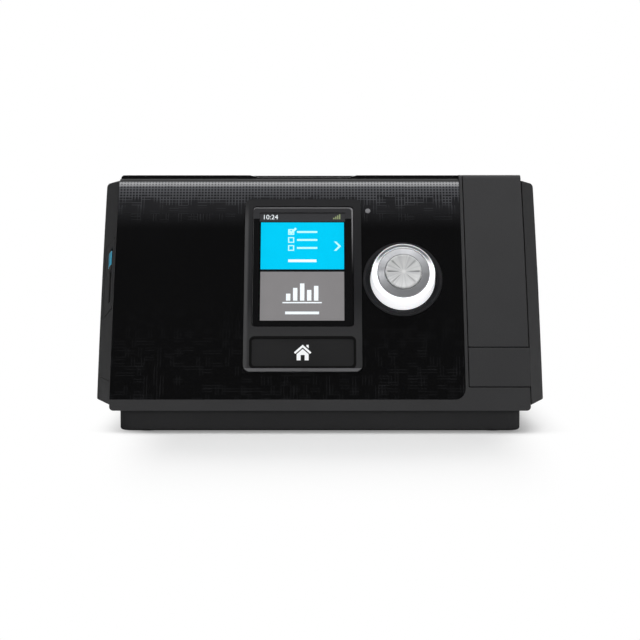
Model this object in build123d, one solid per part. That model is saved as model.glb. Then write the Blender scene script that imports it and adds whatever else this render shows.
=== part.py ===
from build123d import *

import math
import os

# Bedside CPAP machine: a blower in a moulded case, with a screen, a dial that turns and presses,
# and a heated water tub that slides out of the right-hand side.
#
# Millimetres. X runs from left to right as the user faces the screen, Y from front to back, Z up.
# The origin is on the table, under the middle of the machine.

os.makedirs("parts", exist_ok=True)

# ---------------------------------------------------------------- overall form
overall_width = 205.0
overall_depth = 150.0
overall_height = 116.0
outlet_length = 15.0  # the air outlet stands this far out of the rear face

wall = 2.2  # moulded wall of the case
skin = 2.0  # wall of the front panel, the top cover, the ends and the lid
fit_gap = 0.15  # between panels that are fixed
slide_gap = 0.4  # beside what slides or swings
key_gap = 0.25  # round a button in its opening
pin_play = 0.03  # radial, round a pin or a shaft
press = 0.05  # radial, round what is pushed in and stays
over = 1.0  # how far a cut runs past what it cuts

# front face: one large arc that leans back
front_lean = 23.5  # degrees from the vertical
front_bulge = 2.2  # how far the arc stands out of its chord
panel_roll = 7.0  # the front panel rolls over at its top with this radius
panel_corner = 5.0  # its lower right corner
column_round = 3.0  # top front edge of the column and of the strip beside it
step_at_top = 1.8  # and ends this much below the top cover
lip_reach = 5.1  # of the front panel, behind the top of the front face
cover_inset = 14.0  # rear edge of the top cover, from the rear face
cover_round = 1.6  # its left edge
rear_round = 9.0

# heights above the table
foot_proud = 0.8
plinth_top = 10.4
cap_bottom = 12.7
chin_top = 15.2
tub_floor = 20.4
seam_height = 23.2
name_plate_top = 38.1

# flared ends
cap_width = 8.5
cap_flare = 22.0  # how far behind the front face an end reaches its full width
cap_drop = 2.8  # an end is this much lower than the top
cap_fall = 1.2  # and falls this much more towards its outside
cap_round = 2.4
cap_foot_round = 0.8  # along its lower edge

# plinth
plinth_inset = 12.3  # from each end of the machine
plinth_front_inset = 5.0
plinth_rear_inset = 4.0
plinth_corner = 6.0
plinth_edge = 1.2
chin_round = 1.8  # lower edge of the chin, at each end
foot_radius = 6.0
foot_seat = 1.4  # depth of a foot's seat in the plinth
foot_margin = 12.0

# water tub and its bay
tub_width = 27.1  # of the part that shows beside the front panel
frame_strip = 1.5  # edge of the partition that shows between them
bay_width = 35.5
bay_inset = 53.0  # its front wall, behind the front foot
bay_rear_inset = 7.0
lid_depth = 17.4  # from the top down to the bay's ceiling
tub_wall = 1.6
rim_drop = 1.1  # of the tub below the bay's ceiling
seal_height = 1.6
lid_cheek = 1.5
lid_hinge_drop = 12.0  # below the top
lid_wall = 2.4  # at the rear, where it holds the pin
ear_width = 3.0
port_radius = 7.0
port_seal_wall = 2.0
port_pitch = 47.0  # between the two air ports
port_drop = 41.0  # below the top
heater_width = 25.0
heater_depth = 52.0
heater_thickness = 1.5
heater_corner = 3.0
heater_play = 1.0  # between the heater and the tub's metal plate
plate_flange = 2.0
plate_lip = 0.8
baffle_drop = 12.0  # the baffle ends this much below the air ports
baffle_gap = 6.0  # and leaves this much open beside the outer part
ledge_wall = 1.8  # the lid's ceiling over the seal
hinge_block = 3.0  # height of the lid's edge over its barrel
tub_window_y = 2.0
tub_window_z = 56.0
tub_window_width = 70.0
tub_window_height = 34.0
tub_window_corner = 8.0
tub_window_flange = 2.0
window_wall = 1.2

# screen, in the front panel
screen_inset = 72.8  # from the right edge of the front panel
bezel_width = 53.6
bezel_height = 84.3
bezel_drop = 49.85  # its middle, below the top
bezel_corner = 3.0
bezel_proud = 0.8
window_width = 46.2
window_height = 59.2
window_rise = 7.9  # above the bezel's middle
window_corner = 1.6
lcd_width = 40.0
lcd_height = 54.0
home_width = 46.1
home_height = 13.6
home_drop = 30.7  # below the bezel's middle
home_proud = 0.5
home_plate = 1.7
button_travel = 0.8
switch_size = 6.0
switch_height = 2.0
stem_radius = 1.8
switch_knob = 0.8
stem_room = 0.2  # between a key's stem and its pressed switch
window_drop = 1.15  # the window curves this much away from the flat glass behind it
window_recess = 0.5  # of the window in the bezel
glass_wall = 1.4
lcd_room = 1.0  # round the display in the case

# circuit board behind the front panel
board_depth = 9.4  # below the front face
board_thickness = 1.6
board_low = -31.0  # its edges, along the slope from the dial's middle
board_tab_low = -41.0  # a tab reaches down to the home switch
board_tab_width = 22.0
board_high = 36.0
board_left_inset = 5.0  # from the left end of the case
board_right_inset = 7.0  # from the right edge of the front panel
board_post_inset = 4.0
board_thread = 5.2  # depth of a screw's hole in its post

# dial
dial_inset = 27.2  # from the right edge of the front panel
dial_drop = 47.8  # below the top
well_radius = 18.1
well_seat = 16.9  # hole in the case that the well drops into
well_floor = 4.2  # depth of the well
well_wall = 1.0
well_chamfer = 0.7
skirt_radius = 14.8
skirt_draft = 0.5
skirt_wall = 1.8
skirt_roof = 1.6
skirt_chamfer = 0.8
skirt_land = 0.6  # flat rim between the skirt's chamfer and the ring
skirt_low = -1.2
dial_top = 8.0
ring_radius = 11.9
ring_height = 1.0
ring_slope = 0.8
ring_rim = 0.6
ring_rim_drop = 0.5
cap_seat = 0.9  # the ring and the cap are let in this deep
cap_play = 0.1
dial_cap_radius = 8.2
dial_cap_height = 1.6
dial_cap_edge = 0.4
dial_cap_rim = 1.0
dial_cap_dish = 0.25
dial_shaft = 2.8
dial_hub = 5.2
hub_blind = 2.3  # the hub's bore ends this much below the top
shaft_gap = 0.3  # beyond each end of the plunger
encoder_size = 12.0
bushing_radius = 3.8
bushing_top = -2.5
collar_radius = 4.2
collar_height = 0.7
hub_low = -0.6
plunger_low = -7.4

# light sensor and start button
sensor_inset = 42.8  # from the right edge of the front panel
sensor_drop = 16.9  # below the top
sensor_radius = 1.2
sensor_size = 4.0
sensor_gap = 1.6  # between the sensor and the case
lens_proud = 0.2
start_width = 43.8
start_depth = 13.0
start_low = 0.8  # its top is this much lower than the top cover
start_thickness = 3.0
start_edge = 0.5
start_switch_gap = 1.0  # between the well and the switch's actuator
start_screw_inset = 5.0
start_board_margin = 1.0
start_board_depth = 10.0
ramp = 3.0  # slope beside the start button

# memory card and its door, in the flare of the left end
card_length = 32.0
card_height = 24.0
card_thickness = 2.1
card_corner = 2.8  # cut off at 45 degrees
card_rise = 8.75  # above the dial's middle
card_depth = 7.5  # below the front face
card_recess = 0.4  # behind the door
card_push = 1.0
socket_wall = 0.8
socket_lid = 0.4
socket_gap = 0.5
socket_back = 2.0
door_thickness = 1.6
door_height = 35.0
door_start = 2.6  # along the flare, from the front face
door_width = 15.0
door_slit = 4.0
door_slit_height = 8.4
door_frame = 4.0  # the cover is thicker this far round the door
door_backing = 3.0
grip_height = 15.0
grip_width = 3.0
grip_depth = 0.8
grip_drop = 3.6  # between the slit and the grip
bridge_gap = 0.6
bridge_proud = 0.5

# flaps and hinge pins
flap_thickness = 2.0
pin_radius = 0.6
pin_seat = 2.0  # how far a pin reaches into each side

# rear
filter_inset = 6.0  # from the left end of the case
filter_drop = 20.0  # from the top
filter_width = 40.0
filter_height = 50.0
filter_thickness = 6.0
filter_lip = 3.0
grille_count = 5
grille_bar = 2.0
louvre_count = 6
louvre_pitch = 6.6
louvre_width = 3.0
louvre_margin = 7.0
port_flap_inset = 53.0  # from the left end of the case
port_flap_rise = 10.8  # above the seam
port_flap_width = 24.0
port_flap_height = 15.0
data_width = 16.0
data_height = 6.4
data_depth = 3.4
data_wall = 1.4
data_raise = 0.75  # above the middle of its cover
data_flange = 1.5
data_tongue = 1.0
outlet_radius = 11.0
outlet_bore = 9.3
outlet_bend = 14.0
outlet_flange = 14.0
outlet_collar = 0.5  # round the outlet, within the rear wall
outlet_seat = 2.0  # thickness of the flange
outlet_chamfer = 0.6
duct_wall = 1.6
inlet_rise = 18.8  # above the seam
inlet_width = 16.0
inlet_height = 9.0
inlet_depth = 12.0
inlet_wall = 1.8
inlet_flange = 1.2
inlet_seat = 1.6
contact_radius = 1.0
contact_length = 7.0
contact_pitch = 4.5
contact_tail = 3.0

# blower
blower_inset = 63.0  # from the tub's bay
impeller_radius = 21.0
wheel_gap = 1.5  # under the wheel
wheel_plate = 1.2
wheel_shroud = 1.0
wheel_hub = 4.5
wheel_hub_height = 6.0
blade_count = 11
blade_thickness = 0.9
blade_height = 8.0
blade_inset = 0.3  # from the wheel's edge
blade_reach = 4.0  # inwards past the intake
blade_sweep = 50.0
blade_bow = 2.2
blade_sink = 0.1  # each end of a blade runs this far into its plate
scroll_gap = 3.0
scroll_step = 3.5  # growth of the scroll, each quarter turn
scroll_wall = 1.6
scroll_height = 17.0
motor_radius = 17.0
motor_height = 26.0
motor_wall = 1.4
shaft_radius = 2.0
rotor_radius = 8.5
bearing_radius = 5.0
bearing_height = 4.0
intake_radius = 12.0
mount_radius = 4.0
mount_height = 6.0
mount_circle = 21.5
mount_count = 3
mount_ear = 1.0  # of the motor's ears round a mount
mount_ear_height = 2.0
bearing_seat = 1.2
rotor_gap = 1.0
stator_gap = 1.5
stator_ring = 2.2
tooth_count = 6
tooth_width = 3.2
tooth_tip = 1.2
tooth_tip_width = 6.4
tooth_gap = 0.5
bridge_plate = 1.6
bridge_rim = 2.0
bridge_hub = 1.5
duct_length = 22.0  # from the mouth of the scroll to the partition
duct_lap = 6.0  # of the duct over the mouth
duct_end = 3.0
duct_skin = 1.5
sensor_block = 10.0
sensor_block_depth = 8.0
sensor_block_height = 6.0
sensor_sink = 0.6
sensor_block_inset = 9.0  # from the partition
muffler_width = 52.0
muffler_depth = 44.0
muffler_passage = 16.0
muffler_floor = 4.0
muffler_roof = 14.0

# main circuit board
main_board_z = 13.0
main_board_margin = 5.0
main_board_front = 34.0  # behind the front foot
main_board_rear = 28.0  # in front of the rear face
support_radius = 3.0
support_inset = 5.0
capacitor_radius = 4.0
capacitor_height = 12.0
capacitor_pitch = 16.0
chip_size = 9.0
chip_height = 2.0
chip_pitch = 14.0
radio_width = 18.0
radio_depth = 24.0
radio_height = 2.4

# screws
screw_radius = 1.5  # hole that a screw passes through
shank_radius = 1.25
screw_head = 2.7
screw_head_height = 2.0
head_play = 0.2
head_recess = 0.3  # the head stays this far inside the plinth
screw_bite = 7.0  # of a housing screw, above the seam
board_bite = 5.0
boss_wall = 2.2
boss_height = 10.0  # above the seam
screw_front_inset = 18.0
screw_rear_inset = 12.0
screw_left_inset = 34.0  # from the left end of the case
screw_bay_inset = 12.0  # from the tub's bay

# ---------------------------------------------------------------- places worked out from the above
half_width = overall_width / 2
core_half = half_width - cap_width
front_foot = -overall_depth / 2
rear_face = overall_depth / 2 - outlet_length
tub_left = core_half - tub_width
bay_wall = tub_left - slide_gap
tub_side = core_half + slide_gap  # where the tub's end cover starts
panel_right = bay_wall - frame_strip
bay_inner = bay_wall - bay_width
bay_front = front_foot + bay_inset
bay_back = rear_face - bay_rear_inset
bay_top = overall_height - lid_depth
tub_rim = bay_top - rim_drop
lid_hinge_height = overall_height - lid_hinge_drop
port_height = overall_height - port_drop
screen_x = panel_right - screen_inset
bezel_z = overall_height - bezel_drop
window_z = bezel_z + window_rise
home_z = bezel_z - home_drop
dial_x = panel_right - dial_inset
dial_z = overall_height - dial_drop
sensor_x = panel_right - sensor_inset
sensor_z = overall_height - sensor_drop
start_left = screen_x - start_width / 2
start_right = screen_x + start_width / 2
card_z = dial_z + card_rise
board_left = board_left_inset - core_half
board_right = panel_right - board_right_inset
cover_back = rear_face - cover_inset
filter_left = filter_inset - core_half
filter_low = overall_height - filter_drop - filter_height
port_flap_left = port_flap_inset - core_half
port_flap_low = seam_height + port_flap_rise
inlet_x = (port_flap_left + port_flap_width + filter_lip + bay_inner - wall) / 2  # flap to bay
inlet_z = seam_height + inlet_rise
blower_x = bay_inner - blower_inset
tub_bottom = tub_floor + slide_gap
backing = skin + fit_gap  # depth of the case behind the front panel
panel_top = overall_height - step_at_top
ceiling = overall_height - skin - fit_gap - wall
tub_back = bay_back - slide_gap
hinge_y = rear_face - lid_wall / 2
scroll_channel = 4 * scroll_step
scroll_radius = impeller_radius + scroll_gap
channel_y = -(scroll_radius + scroll_channel / 2 - scroll_step / 2)
supply_port_y = bay_front + tub_wall + slide_gap + port_radius + port_seal_wall
return_port_y = supply_port_y + port_pitch
blower_y = supply_port_y - channel_y
scroll_low = port_height - scroll_height / 2
scroll_high = port_height + scroll_height / 2
motor_low = scroll_low - motor_height
seal_top = tub_rim + seal_height
cap_bed = dial_top - cap_seat


# ---------------------------------------------------------------- front surface
def front_arc():
    """Centre (y, z) and radius of the leaning arc, from its chord and its bulge."""
    lean = math.radians(front_lean)
    chord = (overall_height - plinth_top) / math.cos(lean)
    radius = chord**2 / (8 * front_bulge) + front_bulge / 2
    reach = radius - front_bulge
    mid_y = front_foot + chord / 2 * math.sin(lean)
    mid_z = plinth_top + chord / 2 * math.cos(lean)
    return mid_y + reach * math.cos(lean), mid_z - reach * math.sin(lean), radius


arc_y, arc_z, arc_radius = front_arc()


def front_y(z, out=0.0):
    """Y of the front surface at a height, moved out of the case by out."""
    return arc_y - math.sqrt((arc_radius + out) ** 2 - (z - arc_z) ** 2)


def front_plane(x, z):
    """Plane touching the front surface: x to the right, y up the slope, z outwards."""
    tilt = math.asin((z - arc_z) / arc_radius)
    outwards = (0, -math.cos(tilt), math.sin(tilt))
    return Plane(origin=(x, front_y(z), z), x_dir=(1, 0, 0), z_dir=outwards)


panel_back = front_y(overall_height) + lip_reach  # where the front panel meets the top cover


# ---------------------------------------------------------------- shapes used everywhere
def block(x0, x1, y0, y1, z0, z1):
    return Pos((x0 + x1) / 2, (y0 + y1) / 2, (z0 + z1) / 2) * Box(x1 - x0, y1 - y0, z1 - z0)


def rod(start, direction, radius, length):
    ends = (Align.CENTER, Align.CENTER, Align.MIN)
    return Plane(origin=start, z_dir=direction) * Cylinder(radius, length, align=ends)


def post(x, y, z0, z1, radius):
    return rod((x, y, z0), (0, 0, 1), radius, z1 - z0)


def disc(plane, x, y, z0, z1, radius):
    """Cylinder along a plane's normal, from z0 to z1."""
    ends = (Align.CENTER, Align.CENTER, Align.MIN)
    return plane * Pos(x, y, z0) * Cylinder(radius, z1 - z0, align=ends)


def prism(plane, width, height, corner, z0, z1):
    """Rounded rectangle on a plane, from z0 to z1 along its normal."""
    return plane * Pos(0, 0, z0) * extrude(RectangleRounded(width, height, corner), z1 - z0)


def band(x0, x1, bottom, top, outer, inner):
    """Curved slab that follows the front surface, between two offsets of it."""
    middle = (bottom + top) / 2
    a, m, b = [(x0, front_y(z, outer), z) for z in (bottom, middle, top)]
    d, n, c = [(x0, front_y(z, inner), z) for z in (bottom, middle, top)]
    edges = [ThreePointArc(a, m, b), Line(b, c), ThreePointArc(c, n, d), Line(d, a)]
    return extrude(make_face(edges), amount=x1 - x0, dir=(1, 0, 0))


def tile(x, z, width, height, corner, outer, inner):
    """Rounded rectangle of the front surface, between two offsets of it."""
    reach = 10.0
    slab = band(x - width, x + width, z - height / 2, z + height / 2, outer, inner)
    return slab & prism(front_plane(x, z), width, height, corner, -reach, reach)


def slab(x0, x1, inset, bottom, top, rear, front_round=0.0, back_round=0.0):
    """Side profile of the case between two x places. inset moves its front face inwards."""
    middle = (bottom + top) / 2
    a, m, b = [(x0, front_y(z, -inset), z) for z in (bottom, middle, top)]
    c, d = (x0, rear, top), (x0, rear, bottom)
    face = make_face([ThreePointArc(a, m, b), Line(b, c), Line(c, d), Line(d, a)]).face()
    for corner, radius in ((b, front_round), (c, back_round)):
        if radius > 0:
            face = face.fillet_2d(radius, [face.vertices().sort_by_distance(corner)[0]])
    return extrude(face, amount=x1 - x0, dir=(1, 0, 0))


def end_cap(side, bottom, inset=0.0):
    """Flared end: the side profile carried outwards and back at once, with a sloping top."""
    slant = math.hypot(cap_width, cap_flare) / cap_width
    share = (cap_width - inset) / cap_width
    start = core_half + (slide_gap if side > 0 else 0)
    top = overall_height - cap_drop - inset
    profile = slab(0, 1, inset * slant, bottom - cap_fall, top, rear_face + cap_flare)
    face = profile.faces().sort_by(Axis.X)[0]
    face = Pos(side * start, 0, 0) * face
    move = Vector(side * (half_width - start) * share, cap_flare * share, -cap_fall * share)
    body = extrude(face, amount=move.length, dir=move)
    body &= block(
        -half_width, half_width, front_foot - over, rear_face - inset, bottom + inset, overall_height)
    rear = body.faces().sort_by(Axis.Y)[-1]
    return fillet(rear.edges().sort_by(Axis.Z)[-1], rear_round - inset)


def rounded_cap(side):
    """Solid flared end with its outer edges rounded, the lower one least."""
    solid = end_cap(side, cap_bottom)
    outermost = 0 if side < 0 else -1
    outline = solid.faces().sort_by(Axis.X)[outermost].edges().sort_by(Axis.Z)
    solid = fillet(outline[1:], cap_round)
    underside = solid.faces().sort_by(Axis.Z)[0]
    return fillet(underside.edges().sort_by(Axis.X)[outermost], cap_foot_round)


def flap(plane, width, height, thickness):
    """Flap hinged about the plane's y axis, its edge rolled round the pin; x runs away from it."""
    half = thickness / 2
    leaf = plane * block(0, width - half, -height / 2, height / 2, -half, half)
    edge = rolled(plane, height, half)
    return leaf + edge - rolled(plane, height + over, pin_radius + pin_play)


def rolled(plane, length, radius):
    """Cylinder about a plane's y axis, centred on its origin."""
    return plane * Rot(90, 0, 0) * Cylinder(radius, length)


def flap_pocket(plane, width, height, thickness):
    """Room for a closed flap, with the bore that its pin's ends press into."""
    half = thickness / 2 + slide_gap
    reach = 12.0
    sides = height / 2 + slide_gap
    room = plane * block(-half, width - thickness / 2 + slide_gap, -sides, sides, -half, reach)
    return room + rolled(plane, height + 2 * pin_seat, pin_radius + pin_play / 2)


def flap_pin(plane, height):
    return rolled(plane, height + 2 * pin_seat - fit_gap, pin_radius)


# ---------------------------------------------------------------- planes of the flaps and the dial
flare_length = math.hypot(cap_width, cap_flare)
board_plane = front_plane(0, dial_z)
dial_plane = front_plane(dial_x, dial_z)
home_plane = front_plane(screen_x, home_z)
sensor_plane = front_plane(sensor_x, sensor_z)


def along_slope(z):
    """Place of a height on the circuit board's plane, up the slope."""
    return board_plane.to_local_coords(Vector(0, front_y(z), z)).Y


card_y = along_slope(card_z)


def card_door_plane():
    """Hinge axis on the left flare: x runs forwards to the front panel, y up the slope, z outwards."""
    flare = Vector(-cap_width, cap_flare, -cap_fall).normalized()
    slope = front_plane(0, dial_z).y_dir
    outwards = slope.cross(flare).normalized()
    forwards = slope.cross(outwards)
    middle = door_start + door_width / 2
    share = middle / abs(flare.dot(forwards)) / flare_length
    x = -core_half - share * cap_width
    y = front_y(dial_z + share * cap_fall) + share * cap_flare
    half = door_thickness / 2
    hinge = Vector(x, y, dial_z) + forwards * (half - door_width / 2) - outwards * half
    return Plane(origin=hinge, x_dir=forwards, z_dir=outwards)


door_plane = card_door_plane()
filter_plane = Plane(
    origin=(filter_left, rear_face - flap_thickness / 2, filter_low + filter_height / 2),
    x_dir=(1, 0, 0), z_dir=(0, 1, 0))
port_flap_plane = Plane(
    origin=(port_flap_left + port_flap_width / 2, rear_face - flap_thickness / 2, port_flap_low),
    x_dir=(0, 0, 1), z_dir=(0, 1, 0))

rear_flaps = {
    "filter": (filter_plane, filter_width, filter_height),
    "port": (port_flap_plane, port_flap_height, port_flap_width),
}


# ---------------------------------------------------------------- screws and posts
screw_places = [
    (x, y)
    for x in (screw_left_inset - core_half, bay_inner - screw_bay_inset)
    for y in (front_foot + screw_front_inset, rear_face - screw_rear_inset)]
mount_places = [
    (blower_x + mount_circle * math.cos(turn), blower_y + mount_circle * math.sin(turn))
    for turn in [2 * math.pi * k / mount_count + math.pi / 2 for k in range(mount_count)]]
foot_places = [
    (side * (half_width - plinth_inset - foot_margin), y)
    for side in (-1, 1)
    for y in (front_foot + plinth_front_inset + foot_margin, rear_face - plinth_rear_inset - foot_margin)]
board_post_places = [
    (x, y)
    for x in (board_left + board_post_inset, board_right - board_post_inset)
    for y in (board_low + board_post_inset, board_high - board_post_inset)]
start_screw_places = (start_left + start_screw_inset, start_right - start_screw_inset)
boss_radius = screw_radius + boss_wall
pilot_radius = shank_radius + press
mount_post_top = motor_low - mount_height
floor_top = foot_proud + foot_seat + wall


# ---------------------------------------------------------------- lower housing
def plinth():
    width = overall_width - 2 * plinth_inset
    front = front_foot + plinth_front_inset
    depth = rear_face - plinth_rear_inset - front
    foot = Pos(0, front + depth / 2, foot_proud) * extrude(
        RectangleRounded(width, depth, plinth_corner), plinth_top - foot_proud + wall)
    return fillet(foot.faces().sort_by(Axis.Z)[0].edges(), plinth_edge)


def lower_housing():
    """Tray with the chin, the plinth, the tub's platform and the lower part of the left end."""
    tray = slab(-core_half, bay_wall, 0, plinth_top, chin_top, rear_face)
    tray += slab(-core_half, bay_wall, backing, chin_top, seam_height, rear_face)
    tray += slab(panel_right + fit_gap, bay_wall, 0, chin_top, seam_height, rear_face)
    tray += slab(bay_wall, core_half, 0, plinth_top, tub_floor, rear_face)
    tray = fillet(tray.edges().filter_by(Axis.Y).group_by(Axis.Z)[0], chin_round) + corner_fill()
    tray -= block(
        bay_inner - wall, bay_wall + over, bay_front - wall, rear_face + over, tub_floor,
        seam_height + over)
    tray += rounded_cap(-1) & block(-half_width, 0, front_foot, rear_face, 0, seam_height - fit_gap)
    tray += plinth()
    inside = -core_half + wall
    tray -= slab(
        inside, core_half - wall, backing + wall, plinth_top + wall, tub_floor - wall, rear_face - wall)
    tray -= slab(
        inside, bay_inner - 2 * wall, backing + wall, tub_floor - 2 * wall, seam_height + over,
        rear_face - wall)
    margin = plinth_inset + plinth_corner
    tray -= block(
        margin - half_width, half_width - margin, front_foot + plinth_front_inset + plinth_corner,
        rear_face - plinth_rear_inset - plinth_corner, floor_top, plinth_top + wall + over)
    for x, y in screw_places:
        tray += post(x, y, foot_proud, seam_height - fit_gap, boss_radius)
        tray -= post(x, y, foot_proud - over, foot_proud + screw_head_height, screw_head + head_play)
        tray -= post(x, y, foot_proud, seam_height + over, screw_radius)
    for x, y in mount_places:
        tray += post(x, y, foot_proud + foot_seat, mount_post_top, mount_radius)
    for x, y in foot_places:
        tray -= post(x, y, foot_proud - over, foot_proud + foot_seat, foot_radius)
    tray += board_supports()
    return tray - heater_block(tub_floor - heater_thickness, tub_floor + over)


def corner_fill():
    """Fills the corner that the front panel leaves, flush with the chin."""
    corner = front_plane(panel_right, chin_top)
    fill = slab(
        panel_right - panel_corner, panel_right + fit_gap, 0, chin_top, chin_top + panel_corner, 0)
    middle = panel_corner
    return fill - disc(corner, -middle, middle, -tub_width, tub_width, panel_corner + fit_gap)


def heater_block(z0, z1, grow=0.0):
    """Rectangle under the tub's inner part, where its heat comes up."""
    x = (bay_inner + tub_left) / 2
    y = (bay_front + bay_back) / 2
    width, depth = heater_width + 2 * grow, heater_depth + 2 * grow
    return prism(Plane((x, y, 0)), width, depth, heater_corner + grow, z0, z1)


# ---------------------------------------------------------------- main housing
def supply_port(x0, x1, radius):
    return rod((x0, supply_port_y, port_height), (1, 0, 0), radius, x1 - x0)


def return_port(x0, x1, radius):
    return rod((x0, return_port_y, port_height), (1, 0, 0), radius, x1 - x0)


def case_body():
    """Outside of the main housing, stepped down at the front where the panel rolls over it."""
    body = slab(-core_half, bay_wall, backing, seam_height, overall_height, rear_face, 0, rear_round)
    under = panel_top - backing
    step = block(-half_width, half_width, front_foot, panel_back, seam_height, overall_height + over)
    low = slab(-core_half, bay_wall, backing, seam_height, under, rear_face, panel_roll - backing)
    return body - (step - low)


def main_housing():
    """Case with the partition round the tub's bay, the pockets of the flaps and the screw bosses."""
    outside = case_body()
    case = outside + slab(
        panel_right + fit_gap, bay_wall, 0, seam_height, overall_height, rear_face, column_round,
        rear_round)
    case -= case_cavity()
    case -= block(bay_inner, bay_wall + over, bay_front, bay_back, seam_height - over, bay_top)
    case -= top_cover_room()
    case -= front_openings()
    case -= rear_openings()
    case -= flap_pocket(door_plane, door_width, door_height, door_thickness)
    case -= card_room(-core_half - over, -core_half + wall + over)
    for port in (supply_port, return_port):
        case -= port(bay_inner - wall - over, bay_inner + over, port_radius + port_seal_wall)
    high = seam_height + boss_height
    for x, y in screw_places:
        side = front_foot if y < 0 else rear_face
        rib = block(x - wall / 2, x + wall / 2, min(y, side), max(y, side), seam_height, high)
        case += post(x, y, seam_height, high, boss_radius) + (rib & outside)
        case -= post(x, y, seam_height - over, high - wall, pilot_radius)
    for x in start_screw_places:
        case += post(x, start_y(), start_board_top(), start_well_floor() - wall / 2, boss_radius)
        case -= post(x, start_y(), start_board_top() - over, start_well_floor() - wall, pilot_radius)
    case += board_posts()
    for x, y in board_post_places:
        case -= disc(board_plane, x, y, -board_depth - over, board_thread - board_depth, pilot_radius)
    return case


def case_cavity():
    """Inside of the case, less what stands in it: the bay, the boxes behind the flaps and a well."""
    cavity = slab(
        wall - core_half, bay_wall - wall, backing + wall, seam_height - over, ceiling, rear_face - wall,
        panel_roll - backing - wall, rear_round - wall)
    cavity -= block(
        bay_inner - wall, bay_wall, bay_front - wall, rear_face - wall / 2, seam_height, bay_top + wall)
    cavity -= block(
        filter_left - filter_lip, filter_left + filter_width + filter_lip,
        rear_face - filter_depth() - wall, rear_face,
        filter_low - filter_lip, filter_low + filter_height + filter_lip)
    cavity -= block(
        port_flap_left - filter_lip, port_flap_left + port_flap_width + filter_lip, data_front(),
        rear_face - wall / 2, port_flap_low - filter_lip, port_flap_low + port_flap_height + filter_lip)
    return cavity - start_well()


def filter_depth():
    return flap_thickness + slide_gap + filter_thickness


def start_y():
    return panel_back + fit_gap + start_depth / 2


def start_well_floor():
    """Under the start button there is room for its travel."""
    return overall_height - start_low - start_thickness - button_travel - fit_gap


def start_board_top():
    """The start switch hangs under the well, within reach of the button's stem."""
    return start_well_floor() - wall - switch_height - switch_knob - start_switch_gap


def top_cover_room():
    low = overall_height - backing
    high = overall_height + over
    room = block(-core_half - over, panel_right + fit_gap, panel_back, cover_back + fit_gap, low, high)
    room += block(
        start_left - key_gap, start_right + key_gap, panel_back, panel_back + start_depth + 2 * key_gap,
        start_well_floor(), high)
    return room + post(screen_x, start_y(), start_board_top(), high, stem_radius + key_gap)


def start_well():
    """Lowered stretch of the ceiling round the start button."""
    return block(
        start_left - key_gap - wall, start_right + key_gap + wall, panel_back - wall,
        panel_back + start_depth + 2 * key_gap + wall, start_well_floor() - wall, ceiling + wall / 2)


def front_openings():
    """Through the wall behind the front panel: display, home stem, dial well and sensor."""
    cut = local_block(
        screen_x, along_slope(window_z), lcd_width + lcd_room, lcd_height + lcd_room, -board_depth, over)
    cut += disc(home_plane, 0, 0, -board_depth, over, stem_radius + key_gap)
    cut += disc(dial_plane, 0, 0, -board_depth, over, well_seat + fit_gap)
    return cut + disc(sensor_plane, 0, 0, -board_depth, over, sensor_radius)


def rear_openings():
    cut = Part()
    for plane, width, height in rear_flaps.values():
        cut += flap_pocket(plane, width, height, flap_thickness)
    deep = rear_face - filter_depth()
    inner = filter_lip
    cut += block(
        filter_left + inner, filter_left + filter_width - inner, deep, rear_face - flap_thickness / 2,
        filter_low + inner, filter_low + filter_height - inner)
    slot = (filter_height - 4 * inner) / grille_count
    for k in range(grille_count):
        low = filter_low + 2 * inner + k * slot
        cut += block(
            filter_left + 2 * inner, filter_left + filter_width - 2 * inner, deep - wall - over,
            deep + over, low + grille_bar / 2, low + slot - grille_bar / 2)
    cut += data_block(press, data_front() - over, rear_face - flap_thickness / 2)
    cut += rod(
        (outlet_x(), rear_face - wall - over, port_height), (0, 1, 0), outlet_radius + outlet_collar,
        wall + 2 * over)
    return cut + inlet_block(inlet_wall, rear_face - wall - over, rear_face + over)


def local_block(x, y, width, height, z0, z1):
    """Block on the circuit board's plane."""
    return board_plane * block(x - width / 2, x + width / 2, y - height / 2, y + height / 2, z0, z1)


def outlet_x():
    return bay_inner - wall - outlet_bend


def data_front():
    """Y of the wall that carries the data port, behind its cover."""
    return rear_face - flap_thickness - 2 * wall


def data_block(grow, y0, y1):
    x = port_flap_left + port_flap_width / 2
    z = port_flap_low + port_flap_height / 2 + data_raise
    across, up = data_width / 2 + grow, data_height / 2 + grow
    return block(x - across, x + across, y0, y1, z - up, z + up)


def inlet_block(grow, y0, y1):
    return block(
        inlet_x - inlet_width / 2 - grow, inlet_x + inlet_width / 2 + grow, y0, y1,
        inlet_z - inlet_height / 2 - grow, inlet_z + inlet_height / 2 + grow)


def card_room(x0, x1):
    """Passage of the memory card, with room round it."""
    tall = card_height + 2 * key_gap
    thick = card_thickness + 2 * key_gap
    return board_plane * block(
        x0, x1, card_y - tall / 2, card_y + tall / 2, -card_depth - thick / 2, -card_depth + thick / 2)


# ---------------------------------------------------------------- covers
def left_end_cover():
    """Hollow flared end, thickened behind the card door."""
    solid = rounded_cap(-1) & block(-half_width, 0, front_foot, rear_face, seam_height, overall_height)
    hollow = end_cap(-1, seam_height, skin)
    sides = door_height / 2 + door_frame
    behind = door_plane * block(
        -door_frame, door_width + door_frame, -sides, sides, -door_thickness - door_backing, door_thickness)
    cover = solid - (hollow - behind)
    cover -= flap_pocket(door_plane, door_width, door_height, door_thickness)
    return cover - card_room(-half_width, -core_half + over)


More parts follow.
